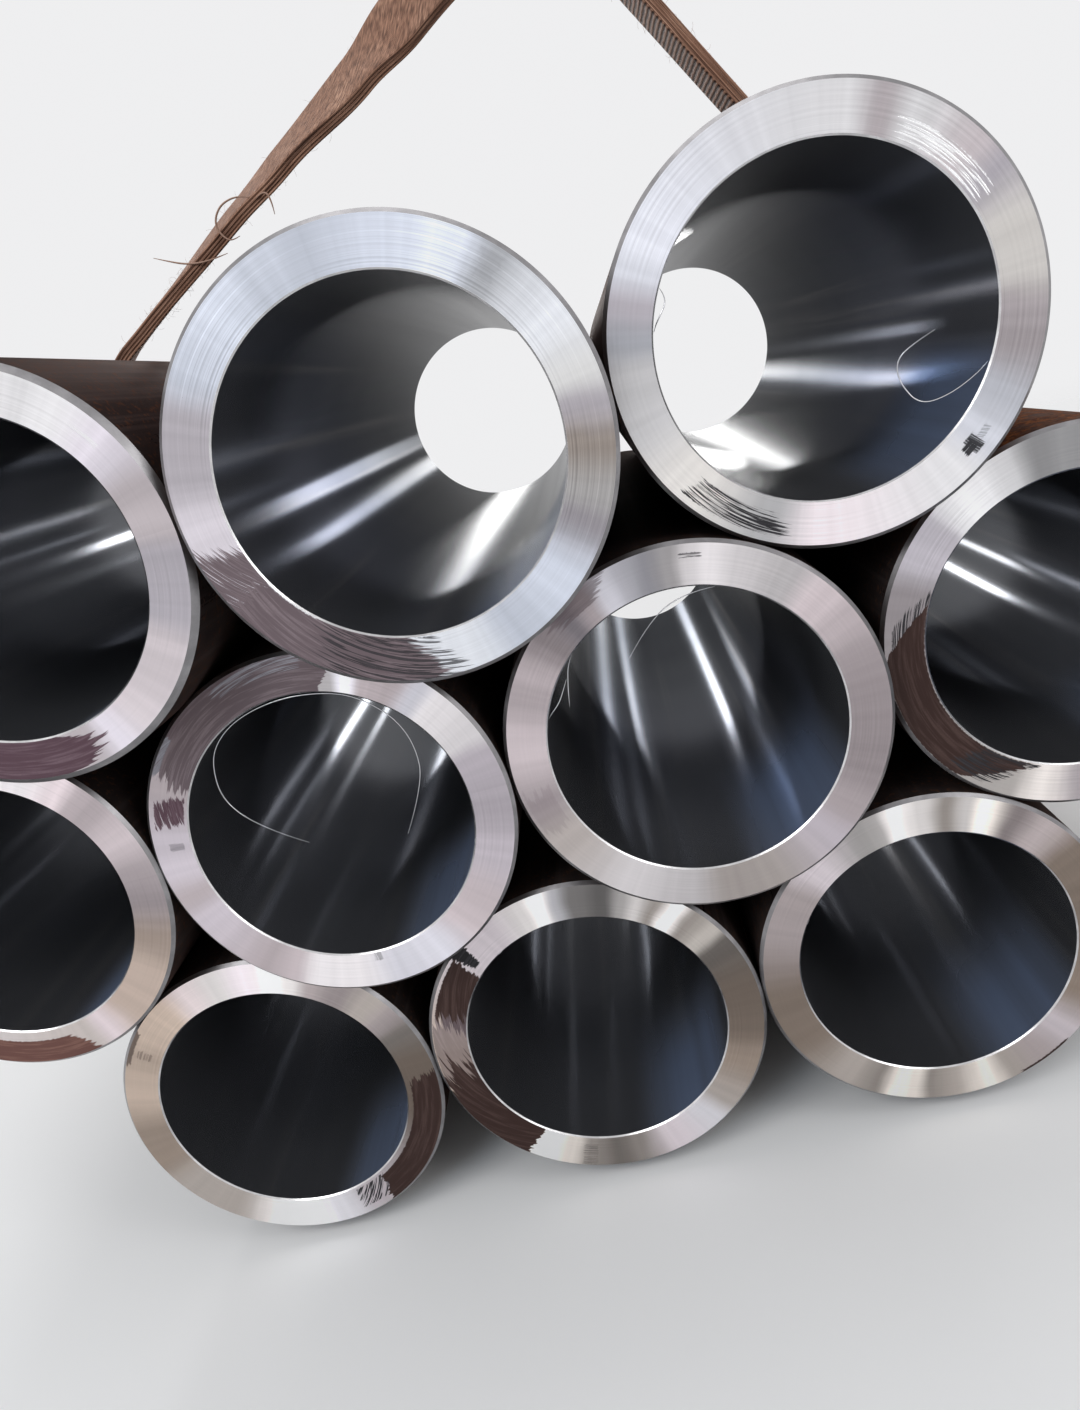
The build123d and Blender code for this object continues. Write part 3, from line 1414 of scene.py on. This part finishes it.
@dataclass(frozen=True)
class Lamp:
    """One soft rectangular lamp.

    Attributes:
        name: Its name.
        place: Where it hangs.
        long_side: Direction in which its height runs.
        size: Its width and height.
        power: Its power in watts.
        colour: Colour of its light.
        in_gloss: Whether it shows in reflections.
    """

    name: str
    place: Point
    long_side: Point
    size: Range
    power: float
    colour: Colour = (1.0, 1.0, 1.0)
    in_gloss: bool = True

    def hang(self, aim: Point) -> None:
        """Hangs the lamp.

        Args:
            aim: Point that it faces.
        """
        data = bpy.data.lights.new(self.name, "AREA")
        data.shape = "RECTANGLE"
        data.size, data.size_y = self.size
        data.energy = self.power
        data.color = self.colour
        backwards = (Vector(self.place) - Vector(aim)).normalized()
        sideways = Vector(self.long_side).cross(backwards).normalized()
        turned = Matrix((sideways, backwards.cross(sideways), backwards)).transposed().to_4x4()
        lamp = put_in_scene(self.name, data)
        lamp.matrix_world = Matrix.Translation(self.place) @ turned
        lamp.visible_camera = False
        lamp.visible_glossy = self.in_gloss


@dataclass(frozen=True)
class BoreLamp:
    """A long lamp behind the bundle that shows as a streak along the bores.

    Attributes:
        name: Its name.
        round_axis: Direction from the bundle's axis in degrees, seen from the photographed side.
        tilts: Lowest and highest angle off the axis that it covers, in degrees.
        breadth: Its breadth in degrees round the axis.
        glow: Its brightness, where 1 is white.
        away: How far behind the point that it faces it hangs.
    """

    name: str
    round_axis: float
    tilts: Range
    breadth: float
    glow: float
    away: float = 9.0

    def hang(self, aim: Point) -> None:
        """Hangs the lamp.

        Args:
            aim: Point that it faces.
        """
        near, far = (math.tan(math.radians(tilt)) for tilt in self.tilts)
        turn = math.radians(self.round_axis)
        outward = (math.cos(turn), 0.0, math.sin(turn))
        reach = self.away * (near + far) / 2.0
        place = tuple(start + self.away * along + reach * out
                      for start, along, out in zip(aim, (0.0, 1.0, 0.0), outward))
        size = (reach * math.radians(self.breadth), self.away * (far - near))
        Lamp(self.name, place, outward, size, self.glow * math.pi * size[0] * size[1]).hang(aim)


@dataclass
class Studio:
    """Pale floor, soft lamps and the photograph's camera.

    Attributes:
        camera_place: Where the camera stands.
        turned_left: Degrees that the camera looks to the left of +Y.
        looking_down: Degrees that it looks down.
        rolled: Degrees that it is rolled about its own axis.
        focal_pixels: Focal length in pixels of the photograph.
        photo_height: Height of the photograph in pixels.
        film: Long side of the camera's sensor, in millimetres.
        pale: Colour of the backdrop.
        dim: Share of the backdrop's light that reaches the surfaces.
        floor_half: Half the side of the floor.
        floor_colours: The two colours that it is clouded with.
        floor_fade: Distances over which it fades into the backdrop.
        aim: Point that the lamps face.
        lamps: The lamps, first those in front and above, then those behind.
    """

    camera_place: Point = (114.4 * MM, -975.4 * MM, 610.3 * MM)
    turned_left: float = 7.29
    looking_down: float = 17.26
    rolled: float = -17.05
    focal_pixels: float = 990.5
    photo_height: float = 1410.0
    film: float = 36.0
    pale: Colour = (0.86, 0.86, 0.87)
    dim: float = 0.60
    floor_half: float = 9.0
    floor_colours: tuple[Colour, Colour] = ((0.84, 0.84, 0.84), (0.89, 0.89, 0.89))
    floor_fade: Range = (1.6, 4.5)
    aim: Point = (0.0, 0.0, 0.40)
    lamps: tuple[Union[Lamp, BoreLamp], ...] = (
        Lamp("key", (-1.3, -2.0, 2.3), UP, (1.4, 1.0), 25.0),
        Lamp("fill", (1.9, -1.6, 1.5), UP, (0.8, 1.4), 11.0),
        Lamp("top", (0.2, 0.6, 2.6), (0.0, 1.0, 0.0), (1.6, 1.6), 16.0),
        Lamp("sky", (-1.2, -2.8, 1.9), UP, (0.9, 0.9), 16.0, (0.80, 0.90, 1.0), in_gloss=False),
        BoreLamp("bore_upper_left", 124.0, (7.0, 31.0), 7.0, 27.0),
        BoreLamp("bore_right", 8.0, (10.0, 35.0), 7.0, 21.0),
        BoreLamp("bore_left", 158.0, (16.0, 30.0), 5.0, 13.0),
        BoreLamp("bore_upper_right", 36.0, (7.5, 20.0), 9.0, 22.0),
    )

    def place_camera(self) -> None:
        """Makes the camera at the photograph's viewing angle."""
        data = bpy.data.cameras.new("photo_camera")
        data.sensor_width = self.film
        data.lens = self.film * self.focal_pixels / self.photo_height
        data.clip_start = 0.02
        turn = Matrix.Rotation(math.radians(self.turned_left), 4, "Z")
        tip = Matrix.Rotation(math.radians(90.0 - self.looking_down), 4, "X")
        roll = Matrix.Rotation(math.radians(self.rolled), 4, "Z")
        camera = put_in_scene("photo_camera", data)
        camera.matrix_world = Matrix.Translation(self.camera_place) @ turn @ tip @ roll
        bpy.context.scene.camera = camera

    def lay_floor(self) -> None:
        """Lays a pale floor that fades into the backdrop."""
        half = self.floor_half
        mesh = bpy.data.meshes.new("floor")
        mesh.from_pydata([(-half, -half, 0.0), (half, -half, 0.0), (half, half, 0.0), (-half, half, 0.0)], [],
                         [(0, 1, 2, 3)])
        floor = put_in_scene("floor", mesh)
        material, nodes, surface = new_material("pale_floor")
        point = nodes.object_point()
        cloud = nodes.noise(point, 2.5, 3.0)
        nodes.feed(surface, {
            "Base Color": nodes.blend(cloud, *self.floor_colours),
            "Roughness": 0.75,
            "Specular IOR Level": 0.2,
        })
        mix = nodes.add("ShaderNodeMixShader", {
            0: nodes.between(nodes.length(point), *self.floor_fade),
            1: surface.outputs[0],
            2: nodes.add("ShaderNodeBsdfTransparent").outputs[0],
        })
        output = next(node for node in material.node_tree.nodes if node.type == "OUTPUT_MATERIAL")
        nodes.feed(output, {"Surface": mix.outputs[0]})
        mesh.materials.append(material)

    def light_world(self) -> None:
        """Sets a dim even world that shows as a pale backdrop."""
        world = bpy.data.worlds.new("studio")
        bpy.context.scene.world = world
        world.use_nodes = True
        world.node_tree.nodes.clear()
        nodes = Nodes(world.node_tree)
        rays = nodes.add("ShaderNodeLightPath").outputs
        shown = nodes.math("ADD", rays["Is Camera Ray"], rays["Is Glossy Ray"])
        shown = nodes.result("ShaderNodeMath", {0: shown, 1: rays["Is Transmission Ray"]}, operation="ADD",
                             use_clamp=True)
        strength = nodes.spread(shown, self.dim, 1.0)
        backdrop = nodes.add("ShaderNodeBackground", {"Color": self.pale, "Strength": strength})
        nodes.add("ShaderNodeOutputWorld", {"Surface": backdrop.outputs[0]})

    def build(self) -> None:
        """Makes the whole studio."""
        self.place_camera()
        self.lay_floor()
        self.light_world()
        for lamp in self.lamps:
            lamp.hang(self.aim)


def ends() -> dict[str, FacedEnd]:
    """Finish of the photographed end of each tube, by node.

    Returns:
        The finishes, from the top row down.
    """
    plain = (0.78, 0.775, 0.79)
    cool = (0.73, 0.755, 0.80)
    pinkish = (0.76, 0.725, 0.735)
    warm = (0.75, 0.715, 0.70)
    return {
        "pipe_top_left": FacedEnd(plain, 0.30, 0.35, 0.1, fan=(
            (4.0, 0.88, Hue.PINK), (13.0, 0.80, Hue.PINK), (24.0, 0.98, Hue.LILAC), (30.0, 1.08, Hue.LILAC),
            (44.0, 1.10, Hue.PLAIN), (56.0, 0.96, Hue.PLAIN), (120.0, 0.88, Hue.PLAIN),
            (200.0, 1.0, Hue.PLAIN), (280.0, 0.80, Hue.PINK), (289.0, 1.04, Hue.LILAC),
            (300.0, 0.98, Hue.PINK), (312.0, 0.91, Hue.PINK), (326.0, 0.92, Hue.PINK),
            (337.0, 0.80, Hue.LILAC), (354.0, 0.78, Hue.LILAC),
        ), smears=(
            Smear(Mark.BROWN_SKIN, (205.0, 205.0), (271.0, 268.0), bulge=15.0, fade=(4.0, 9.0), strokes=9.0),
            Smear(Mark.WHITE_SCORE, (28.0, 30.0), (36.0, 38.0), (0.42, 0.55), gaps=0.55, strokes=40.0),
        )),
        "pipe_top_middle": FacedEnd(cool, 0.29, 1.0, 0.2, fan=(
            (0.0, 0.80, Hue.PINK), (7.0, 1.02, Hue.CREAM), (24.0, 1.10, Hue.PLAIN), (35.0, 1.0, Hue.PLAIN),
            (44.0, 0.80, Hue.PLAIN), (55.0, 1.16, Hue.COOL), (72.0, 1.06, Hue.COOL), (98.0, 0.84, Hue.COOL),
            (110.0, 0.82, Hue.COOL), (124.0, 0.95, Hue.COOL), (140.0, 0.96, Hue.COOL),
            (153.0, 0.82, Hue.PINK), (168.0, 0.82, Hue.PINK), (180.0, 1.02, Hue.PINK),
            (276.0, 1.04, Hue.PLAIN), (290.0, 0.89, Hue.COOL), (312.0, 1.02, Hue.COOL),
            (329.0, 0.68, Hue.PINK), (337.0, 0.76, Hue.WARM), (350.0, 0.66, Hue.BROWN),
        ), smears=(
            Smear(Mark.GREY_BLUR, (41.0, 40.0), (47.0, 48.0), (0.3, 0.8), fade=(4.0, 4.0), strokes=3.0,
                  strength=0.14),
            Smear(Mark.PALE_SKIN, (194.0, 188.0), (226.0, 216.0), fade=(6.0, 14.0), strokes=30.0,
                  slope=-0.03, gaps=0.14),
            Smear(Mark.PALE_SKIN, (204.0, 206.0), (259.0, 268.0), fade=(8.0, 8.0), strokes=10.0, slope=0.008),
            Smear(Mark.BLACK_SCORE, (232.0, 238.0), (264.0, 275.0), (0.05, 1.2), fade=(20.0, 9.0),
                  strokes=18.0, slope=0.010, gaps=0.50, strength=0.85),
            Smear(Mark.WHITE_SCORE, (206.0, 206.0), (226.0, 226.0), (-0.1, 0.05), fade=(4.0, 4.0),
                  strength=0.8),
        )),
        "pipe_top_right": FacedEnd(plain, 0.30, 0.5, 0.3, fan=(
            (0.0, 0.92, Hue.CREAM), (12.0, 0.88, Hue.CREAM), (27.0, 0.70, Hue.LILAC),
            (37.0, 0.80, Hue.PINK), (54.0, 0.92, Hue.PLAIN), (63.0, 0.76, Hue.PINK),
            (73.0, 1.02, Hue.PLAIN), (140.0, 1.06, Hue.COOL), (149.0, 1.0, Hue.COOL),
            (158.0, 0.82, Hue.LILAC), (168.0, 0.80, Hue.COOL), (176.0, 0.92, Hue.PLAIN),
            (192.0, 0.95, Hue.PLAIN), (213.0, 1.03, Hue.CREAM), (243.0, 0.80, Hue.PLAIN),
            (257.0, 1.12, Hue.PINK), (300.0, 1.07, Hue.PLAIN), (312.0, 1.0, Hue.COOL),
            (326.0, 0.86, Hue.COOL), (341.0, 0.70, Hue.PINK), (350.0, 0.74, Hue.PINK),
        ), smears=(
            Smear(Mark.BLACK_SCORE, (218.0, 214.0), (240.0, 248.0), (0.30, 0.78), fade=(4.0, 10.0),
                  strokes=34.0, slope=0.004, gaps=0.46),
            Smear(Mark.WHITE_SCORE, (26.0, 24.0), (54.0, 56.0), (0.08, 0.48), fade=(6.0, 10.0),
                  strokes=24.0, gaps=0.55),
            Smear(Mark.INK, (305.5, 306.0), (309.0, 309.5), (0.40, 0.62), fade=(1.5, 1.5), strokes=30.0,
                  gaps=0.35),
            Smear(Mark.INK, (307.5, 307.5), (311.5, 311.0), (0.34, 0.70), fade=(1.0, 1.0), strokes=9.0,
                  slope=0.7, gaps=0.32),
            Smear(Mark.INK, (311.0, 311.0), (316.0, 315.0), (0.46, 0.60), fade=(1.0, 2.0), strokes=24.0,
                  slope=0.15, gaps=0.5, strength=0.6),
        )),
        "pipe_middle_far_left": FacedEnd(pinkish, 0.31, 0.3, 0.4, fan=(
            (0.0, 0.70, Hue.PINK), (16.0, 0.90, Hue.PINK), (30.0, 0.77, Hue.PINK), (36.0, 0.83, Hue.PINK),
            (43.0, 1.08, Hue.PINK), (54.0, 1.12, Hue.PLAIN), (120.0, 0.9, Hue.PINK),
            (200.0, 0.95, Hue.PLAIN), (282.0, 0.86, Hue.WARM), (289.0, 1.0, Hue.PINK),
            (302.0, 0.82, Hue.BROWN), (320.0, 0.82, Hue.BROWN), (336.0, 0.66, Hue.BROWN),
            (352.0, 0.64, Hue.PINK),
        ), smears=(
            Smear(Mark.RUST_SKIN, (205.0, 205.0), (270.0, 285.0), (0.30, 1.2), fade=(4.0, 5.0), strokes=7.0),
        )),
        "pipe_middle_left": FacedEnd(pinkish, 0.30, 0.3, 0.5, fan=(
            (0.0, 0.76, Hue.LILAC), (12.0, 0.80, Hue.LILAC), (19.0, 0.95, Hue.PLAIN),
            (36.0, 1.05, Hue.PLAIN), (42.0, 0.96, Hue.COOL), (49.0, 0.80, Hue.PINK), (59.0, 0.85, Hue.PINK),
            (65.0, 1.26, Hue.COOL), (71.0, 0.80, Hue.PLAIN), (150.0, 0.74, Hue.PINK),
            (170.0, 0.86, Hue.LILAC), (180.0, 0.92, Hue.LILAC), (191.0, 0.80, Hue.PINK),
            (201.0, 0.91, Hue.LILAC), (228.0, 0.80, Hue.PINK), (238.0, 0.88, Hue.PINK),
            (246.0, 1.12, Hue.PLAIN), (260.0, 1.12, Hue.PLAIN), (276.0, 1.02, Hue.COOL),
            (292.0, 1.08, Hue.COOL), (306.0, 0.94, Hue.PINK), (318.0, 0.88, Hue.PINK),
            (336.0, 0.86, Hue.LILAC), (353.0, 0.74, Hue.LILAC),
        ), smears=(
            Smear(Mark.PALE_SKIN, (75.0, 69.0), (150.0, 141.0), fade=(2.0, 8.0), strokes=9.0, bulge=2.0),
            Smear(Mark.GREY_BLUR, (82.0, 80.0), (106.0, 110.0), (0.55, 1.05), fade=(4.0, 8.0), strokes=22.0,
                  slope=-0.006, gaps=0.50),
            Smear(Mark.GREY_BLUR, (138.0, 131.0), (140.0, 146.0), (0.78, 1.2), fade=(3.0, 6.0),
                  strokes=12.0, slope=0.03, gaps=0.35),
            Smear(Mark.BROWN_SKIN, (151.0, 156.0), (162.0, 165.0), (0.10, 0.80), fade=(4.0, 4.0),
                  strokes=14.0, slope=-0.02, gaps=0.22),
            Smear(Mark.INK, (170.5, 170.5), (173.0, 173.0), (0.20, 0.55), fade=(1.0, 1.0), strokes=12.0,
                  slope=0.5, gaps=0.42, strength=0.55),
            Smear(Mark.INK, (267.5, 267.5), (270.5, 270.5), (0.02, 0.26), fade=(1.0, 1.0), strokes=12.0,
                  slope=0.5, gaps=0.45, strength=0.7),
        )),
        "pipe_middle_right": FacedEnd(pinkish, 0.30, 0.3, 0.6, fan=(
            (0.0, 0.66, Hue.PINK), (12.0, 0.71, Hue.PINK), (24.0, 0.84, Hue.PINK), (38.0, 0.94, Hue.PINK),
            (48.0, 0.83, Hue.PLAIN), (64.0, 0.96, Hue.PLAIN), (73.0, 1.12, Hue.PLAIN),
            (79.0, 1.0, Hue.PLAIN), (85.0, 0.72, Hue.PLAIN), (93.0, 0.66, Hue.COOL),
            (100.0, 0.82, Hue.COOL), (108.0, 1.0, Hue.COOL), (115.0, 0.74, Hue.PINK),
            (123.0, 0.54, Hue.LILAC), (132.0, 0.60, Hue.PINK), (144.0, 0.80, Hue.PINK),
            (152.0, 0.75, Hue.PINK), (170.0, 0.90, Hue.PINK), (190.0, 0.70, Hue.PINK),
            (206.0, 0.80, Hue.WARM), (235.0, 0.98, Hue.PLAIN), (254.0, 0.88, Hue.PLAIN),
            (267.0, 0.72, Hue.WARM), (282.0, 0.73, Hue.WARM), (306.0, 0.87, Hue.LILAC),
            (318.0, 0.76, Hue.PINK), (336.0, 0.64, Hue.PINK),
        ), smears=(
            Smear(Mark.PALE_SKIN, (118.0, 104.0), (119.0, 130.0), (0.45, 1.2), fade=(6.0, 8.0), strength=0.6),
            Smear(Mark.BLACK_SCORE, (76.0, 76.0), (82.0, 82.0), (0.62, 0.72), fade=(2.0, 2.0), gaps=0.4,
                  strength=0.8),
            Smear(Mark.BROWN_SKIN, (188.0, 186.0), (200.0, 203.0), (0.20, 0.85), fade=(8.0, 8.0),
                  strokes=6.0, strength=0.16),
        )),
        "pipe_middle_far_right": FacedEnd(plain, 0.30, 0.4, 0.7, fan=(
            (30.0, 0.9, Hue.PLAIN), (88.0, 0.66, Hue.PLAIN), (97.0, 0.62, Hue.PLAIN),
            (108.0, 0.98, Hue.PLAIN), (120.0, 1.16, Hue.PLAIN), (127.0, 1.08, Hue.PLAIN),
            (134.0, 0.82, Hue.LILAC), (144.0, 0.86, Hue.LILAC), (156.0, 0.64, Hue.PINK),
            (230.0, 0.74, Hue.WARM), (240.0, 0.76, Hue.WARM), (250.0, 1.08, Hue.WARM),
            (262.0, 0.76, Hue.PINK), (300.0, 0.9, Hue.PLAIN),
        ), smears=(
            Smear(Mark.BLACK_SCORE, (152.0, 172.0), (172.0, 188.0), (0.03, 0.75), fade=(5.0, 8.0),
                  strokes=30.0, gaps=0.42),
            Smear(Mark.DARK_SKIN, (157.0, 179.0), (247.0, 220.0), (0.05, 0.92), fade=(2.0, 4.0), strokes=8.0),
            Smear(Mark.BLACK_SCORE, (226.0, 216.0), (249.0, 226.0), (0.06, 0.80), fade=(6.0, 4.0),
                  strokes=20.0, gaps=0.46),
        )),
        "pipe_bottom_left": FacedEnd(warm, 0.32, 0.3, 0.8, fan=(
            (4.0, 0.50, Hue.BROWN), (18.0, 0.54, Hue.WARM), (26.0, 0.76, Hue.PINK), (36.0, 0.84, Hue.WARM),
            (47.0, 0.68, Hue.PINK), (58.0, 0.82, Hue.PINK), (66.0, 1.12, Hue.PLAIN),
            (73.0, 1.26, Hue.PLAIN), (84.0, 1.14, Hue.LILAC), (96.0, 1.02, Hue.PLAIN),
            (110.0, 1.06, Hue.PINK), (121.0, 0.90, Hue.BROWN), (136.0, 0.84, Hue.BROWN),
            (144.0, 0.76, Hue.BROWN), (163.0, 0.86, Hue.BROWN), (181.0, 0.66, Hue.BROWN),
            (194.0, 0.68, Hue.BROWN), (210.0, 0.82, Hue.WARM), (230.0, 0.82, Hue.WARM),
            (250.0, 1.24, Hue.PLAIN), (262.0, 1.26, Hue.COOL), (277.0, 1.12, Hue.COOL),
            (290.0, 0.92, Hue.LILAC), (345.0, 0.50, Hue.BROWN),
        ), smears=(
            Smear(Mark.DARK_SKIN, (301.0, 294.0), (354.0, 360.0), (0.16, 1.2), fade=(3.0, 6.0), strokes=7.0),
            Smear(Mark.BLACK_SCORE, (286.0, 282.0), (303.0, 294.0), (0.10, 0.72), fade=(3.0, 5.0),
                  strokes=9.0, slope=-0.05, gaps=0.50),
            Smear(Mark.DARK_SKIN, (136.0, 134.0), (141.0, 150.0), (0.80, 1.2), fade=(2.0, 4.0), strength=0.7),
            Smear(Mark.DARK_SKIN, (142.0, 142.0), (145.0, 145.0), (0.30, 0.70), fade=(2.0, 2.0), gaps=0.45,
                  strength=0.45),
        )),
        "pipe_bottom_middle": FacedEnd(warm, 0.31, 0.3, 0.9, fan=(
            (4.0, 0.50, Hue.BROWN), (25.0, 0.46, Hue.WARM), (31.0, 0.92, Hue.CREAM), (41.0, 0.70, Hue.WARM),
            (47.0, 1.36, Hue.PLAIN), (53.0, 0.70, Hue.WARM), (60.0, 1.02, Hue.PLAIN),
            (66.0, 0.76, Hue.PLAIN), (72.0, 0.44, Hue.PLAIN), (84.0, 0.54, Hue.PLAIN),
            (90.0, 0.86, Hue.COOL), (96.0, 1.32, Hue.PLAIN), (103.0, 1.04, Hue.PLAIN),
            (118.0, 0.94, Hue.LILAC), (127.0, 0.95, Hue.LILAC), (180.0, 0.90, Hue.BROWN),
            (234.0, 1.34, Hue.CREAM), (246.0, 1.12, Hue.CREAM), (252.0, 0.72, Hue.WARM),
            (264.0, 0.54, Hue.WARM), (272.0, 0.66, Hue.WARM), (288.0, 1.12, Hue.LILAC),
            (304.0, 1.15, Hue.COOL), (314.0, 0.86, Hue.WARM), (334.0, 0.74, Hue.BROWN),
            (348.0, 0.55, Hue.BROWN),
        ), smears=(
            Smear(Mark.BLACK_SCORE, (131.0, 127.0), (132.5, 135.0), (0.25, 1.2), fade=(1.5, 2.0)),
            Smear(Mark.DARK_SKIN, (137.0, 133.0), (166.0, 158.0), (0.0, 0.84), fade=(3.0, 9.0),
                  strokes=10.0, slope=-0.012),
            Smear(Mark.PALE_SKIN, (158.0, 162.0), (200.0, 192.0), (-0.2, 0.9), fade=(9.0, 20.0),
                  strokes=9.0, slope=-0.02, strength=0.7),
            Smear(Mark.DARK_SKIN, (178.0, 184.0), (231.0, 229.0), fade=(22.0, 2.0), strokes=9.0, slope=-0.02),
            Smear(Mark.BLACK_SCORE, (250.0, 250.0), (255.0, 255.0), (0.25, 0.90), fade=(2.0, 2.0), gaps=0.5,
                  strokes=30.0, strength=0.5),
        )),
        "pipe_bottom_right": FacedEnd(warm, 0.31, 0.3, 1.0, fan=(
            (10.0, 0.55, Hue.BROWN), (30.0, 0.56, Hue.BROWN), (44.0, 0.84, Hue.PINK),
            (54.0, 0.58, Hue.PINK), (65.0, 1.26, Hue.CREAM), (71.0, 0.94, Hue.PLAIN),
            (78.0, 0.66, Hue.WARM), (86.0, 1.02, Hue.PLAIN), (96.0, 1.26, Hue.PLAIN),
            (102.0, 0.82, Hue.PLAIN), (108.0, 0.73, Hue.PLAIN), (130.0, 1.0, Hue.LILAC),
            (140.0, 0.76, Hue.PINK), (156.0, 0.77, Hue.PINK), (184.0, 0.58, Hue.BROWN),
            (204.0, 0.62, Hue.BROWN), (226.0, 0.88, Hue.WARM), (239.0, 0.70, Hue.WARM),
            (246.0, 1.22, Hue.CREAM), (252.0, 1.16, Hue.CREAM), (258.0, 0.70, Hue.WARM),
            (265.0, 0.80, Hue.WARM), (280.0, 1.18, Hue.CREAM), (288.0, 0.80, Hue.WARM),
            (300.0, 0.82, Hue.PINK), (313.0, 0.98, Hue.LILAC), (330.0, 0.66, Hue.BROWN),
        ), smears=(
            Smear(Mark.DARK_SKIN, (292.0, 291.0), (308.0, 311.0), (0.86, 1.2), fade=(2.0, 4.0)),
        )),
    }


def swarf_threads() -> list[Thread]:
    """Curls of swarf caught on the bores' edges.

    Returns:
        The threads.
    """
    return [
        swarf("swarf_middle_left", "pipe_middle_left", (
            (200.0, 22.0, 6.0), (170.0, 47.0, 8.0), (153.0, 79.0, 9.0), (134.0, 95.0, 8.0),
            (120.0, 99.0, 5.0), (106.0, 99.3, 3.0), (90.0, 99.3, 2.0), (74.0, 99.3, 3.0), (61.0, 98.7, 5.0),
            (44.0, 93.5, 7.0), (29.0, 85.0, 8.0), (11.0, 72.5, 7.0), (339.5, 53.0, 4.0))),
        swarf("swarf_middle_right", "pipe_middle_right", (
            (70.0, 99.3, 3.0), (80.0, 96.0, 4.0), (97.0, 85.0, 5.0), (116.0, 69.0, 4.0))),
        swarf("splinter_middle_right", "pipe_middle_right", (
            (132.0, 99.4, 4.0), (136.0, 98.0, 4.0), (141.0, 94.0, 4.0), (147.0, 90.0, 3.0),
            (152.0, 87.0, 2.0))),
        swarf("chip_middle_right", "pipe_middle_right", (
            (141.0, 95.0, 2.0), (147.0, 94.0, 3.0), (152.0, 94.5, 3.0), (157.0, 98.4, 3.0),
            (159.0, 99.4, 4.0))),
        swarf("swarf_top_right", "pipe_top_right", (
            (343.0, 65.0, 3.0), (331.0, 51.0, 6.0), (319.0, 50.0, 7.0), (311.0, 60.0, 7.0),
            (309.0, 76.0, 6.0), (318.0, 87.0, 5.0), (329.0, 97.0, 3.0), (333.0, 99.3, 2.0))),
        swarf("swarf_top_right_edge", "pipe_top_right", (
            (151.0, 99.4, 4.0), (154.0, 94.0, -2.0), (160.0, 97.0, -4.0), (163.0, 99.0, -1.0),
            (165.0, 99.4, 3.0))),
    ]


def loose_yarns() -> list[Thread]:
    """Loose yarns and a splinter caught on the sling's left leg.

    Returns:
        The threads.
    """
    routes = {
        "loose_yarn": ((-123, -10, 832), (-132, -14, 836), (-148, -16, 834), (-158, -15, 826),
                       (-161, -14, 817), (-157, -14, 808), (-151, -15, 803), (-144, -10, 806)),
        "loose_end": ((-122, -8, 829), (-110, -14, 834), (-105, -14, 826), (-107, -12, 813)),
        "splinter": ((-226, -12, 811), (-211, -12, 803), (-197, -12, 797), (-178, -13, 794),
                     (-160, -10, 796)),
    }
    return [Thread(name, tuple(tuple(part * MM for part in point) for point in points), YARN_RADIUS,
                   "sling_textile") for name, points in routes.items()]


def main() -> None:
    """Builds the bundle and the studio."""
    bpy.context.scene.view_settings.view_transform = "Standard"
    Studio().build()
    tree = turned_tube_tree()
    finishes = {
        "Bore": HonedBore().material(),
        "Edge": TurnedEdge("bore_edge", (0.80, 0.79, 0.80), 0.24).material(),
        "Rim": TurnedEdge("rim_chamfer", (0.36, 0.35, 0.36), 0.34).material(),
        "Skin": MillSkin().material(),
    }
    for node, end in ends().items():
        Tube(node, end, wide_rim=node == "pipe_top_left").make(tree, finishes)

    sling = LiftingSling().make(SlingTextile().material())
    yarn = ThreadFinish("loose_yarn", (0.36, 0.22, 0.16), 0.7).material()
    SlingFibres().make(sling, yarn)

    tree = thread_tree()
    chip = ThreadFinish("swarf", (0.75, 0.75, 0.78), 0.25, 1.0).material()
    for thread in swarf_threads():
        thread.make(tree, chip)
    for thread in loose_yarns():
        thread.make(tree, yarn)


if __name__ == "__main__":
    main()
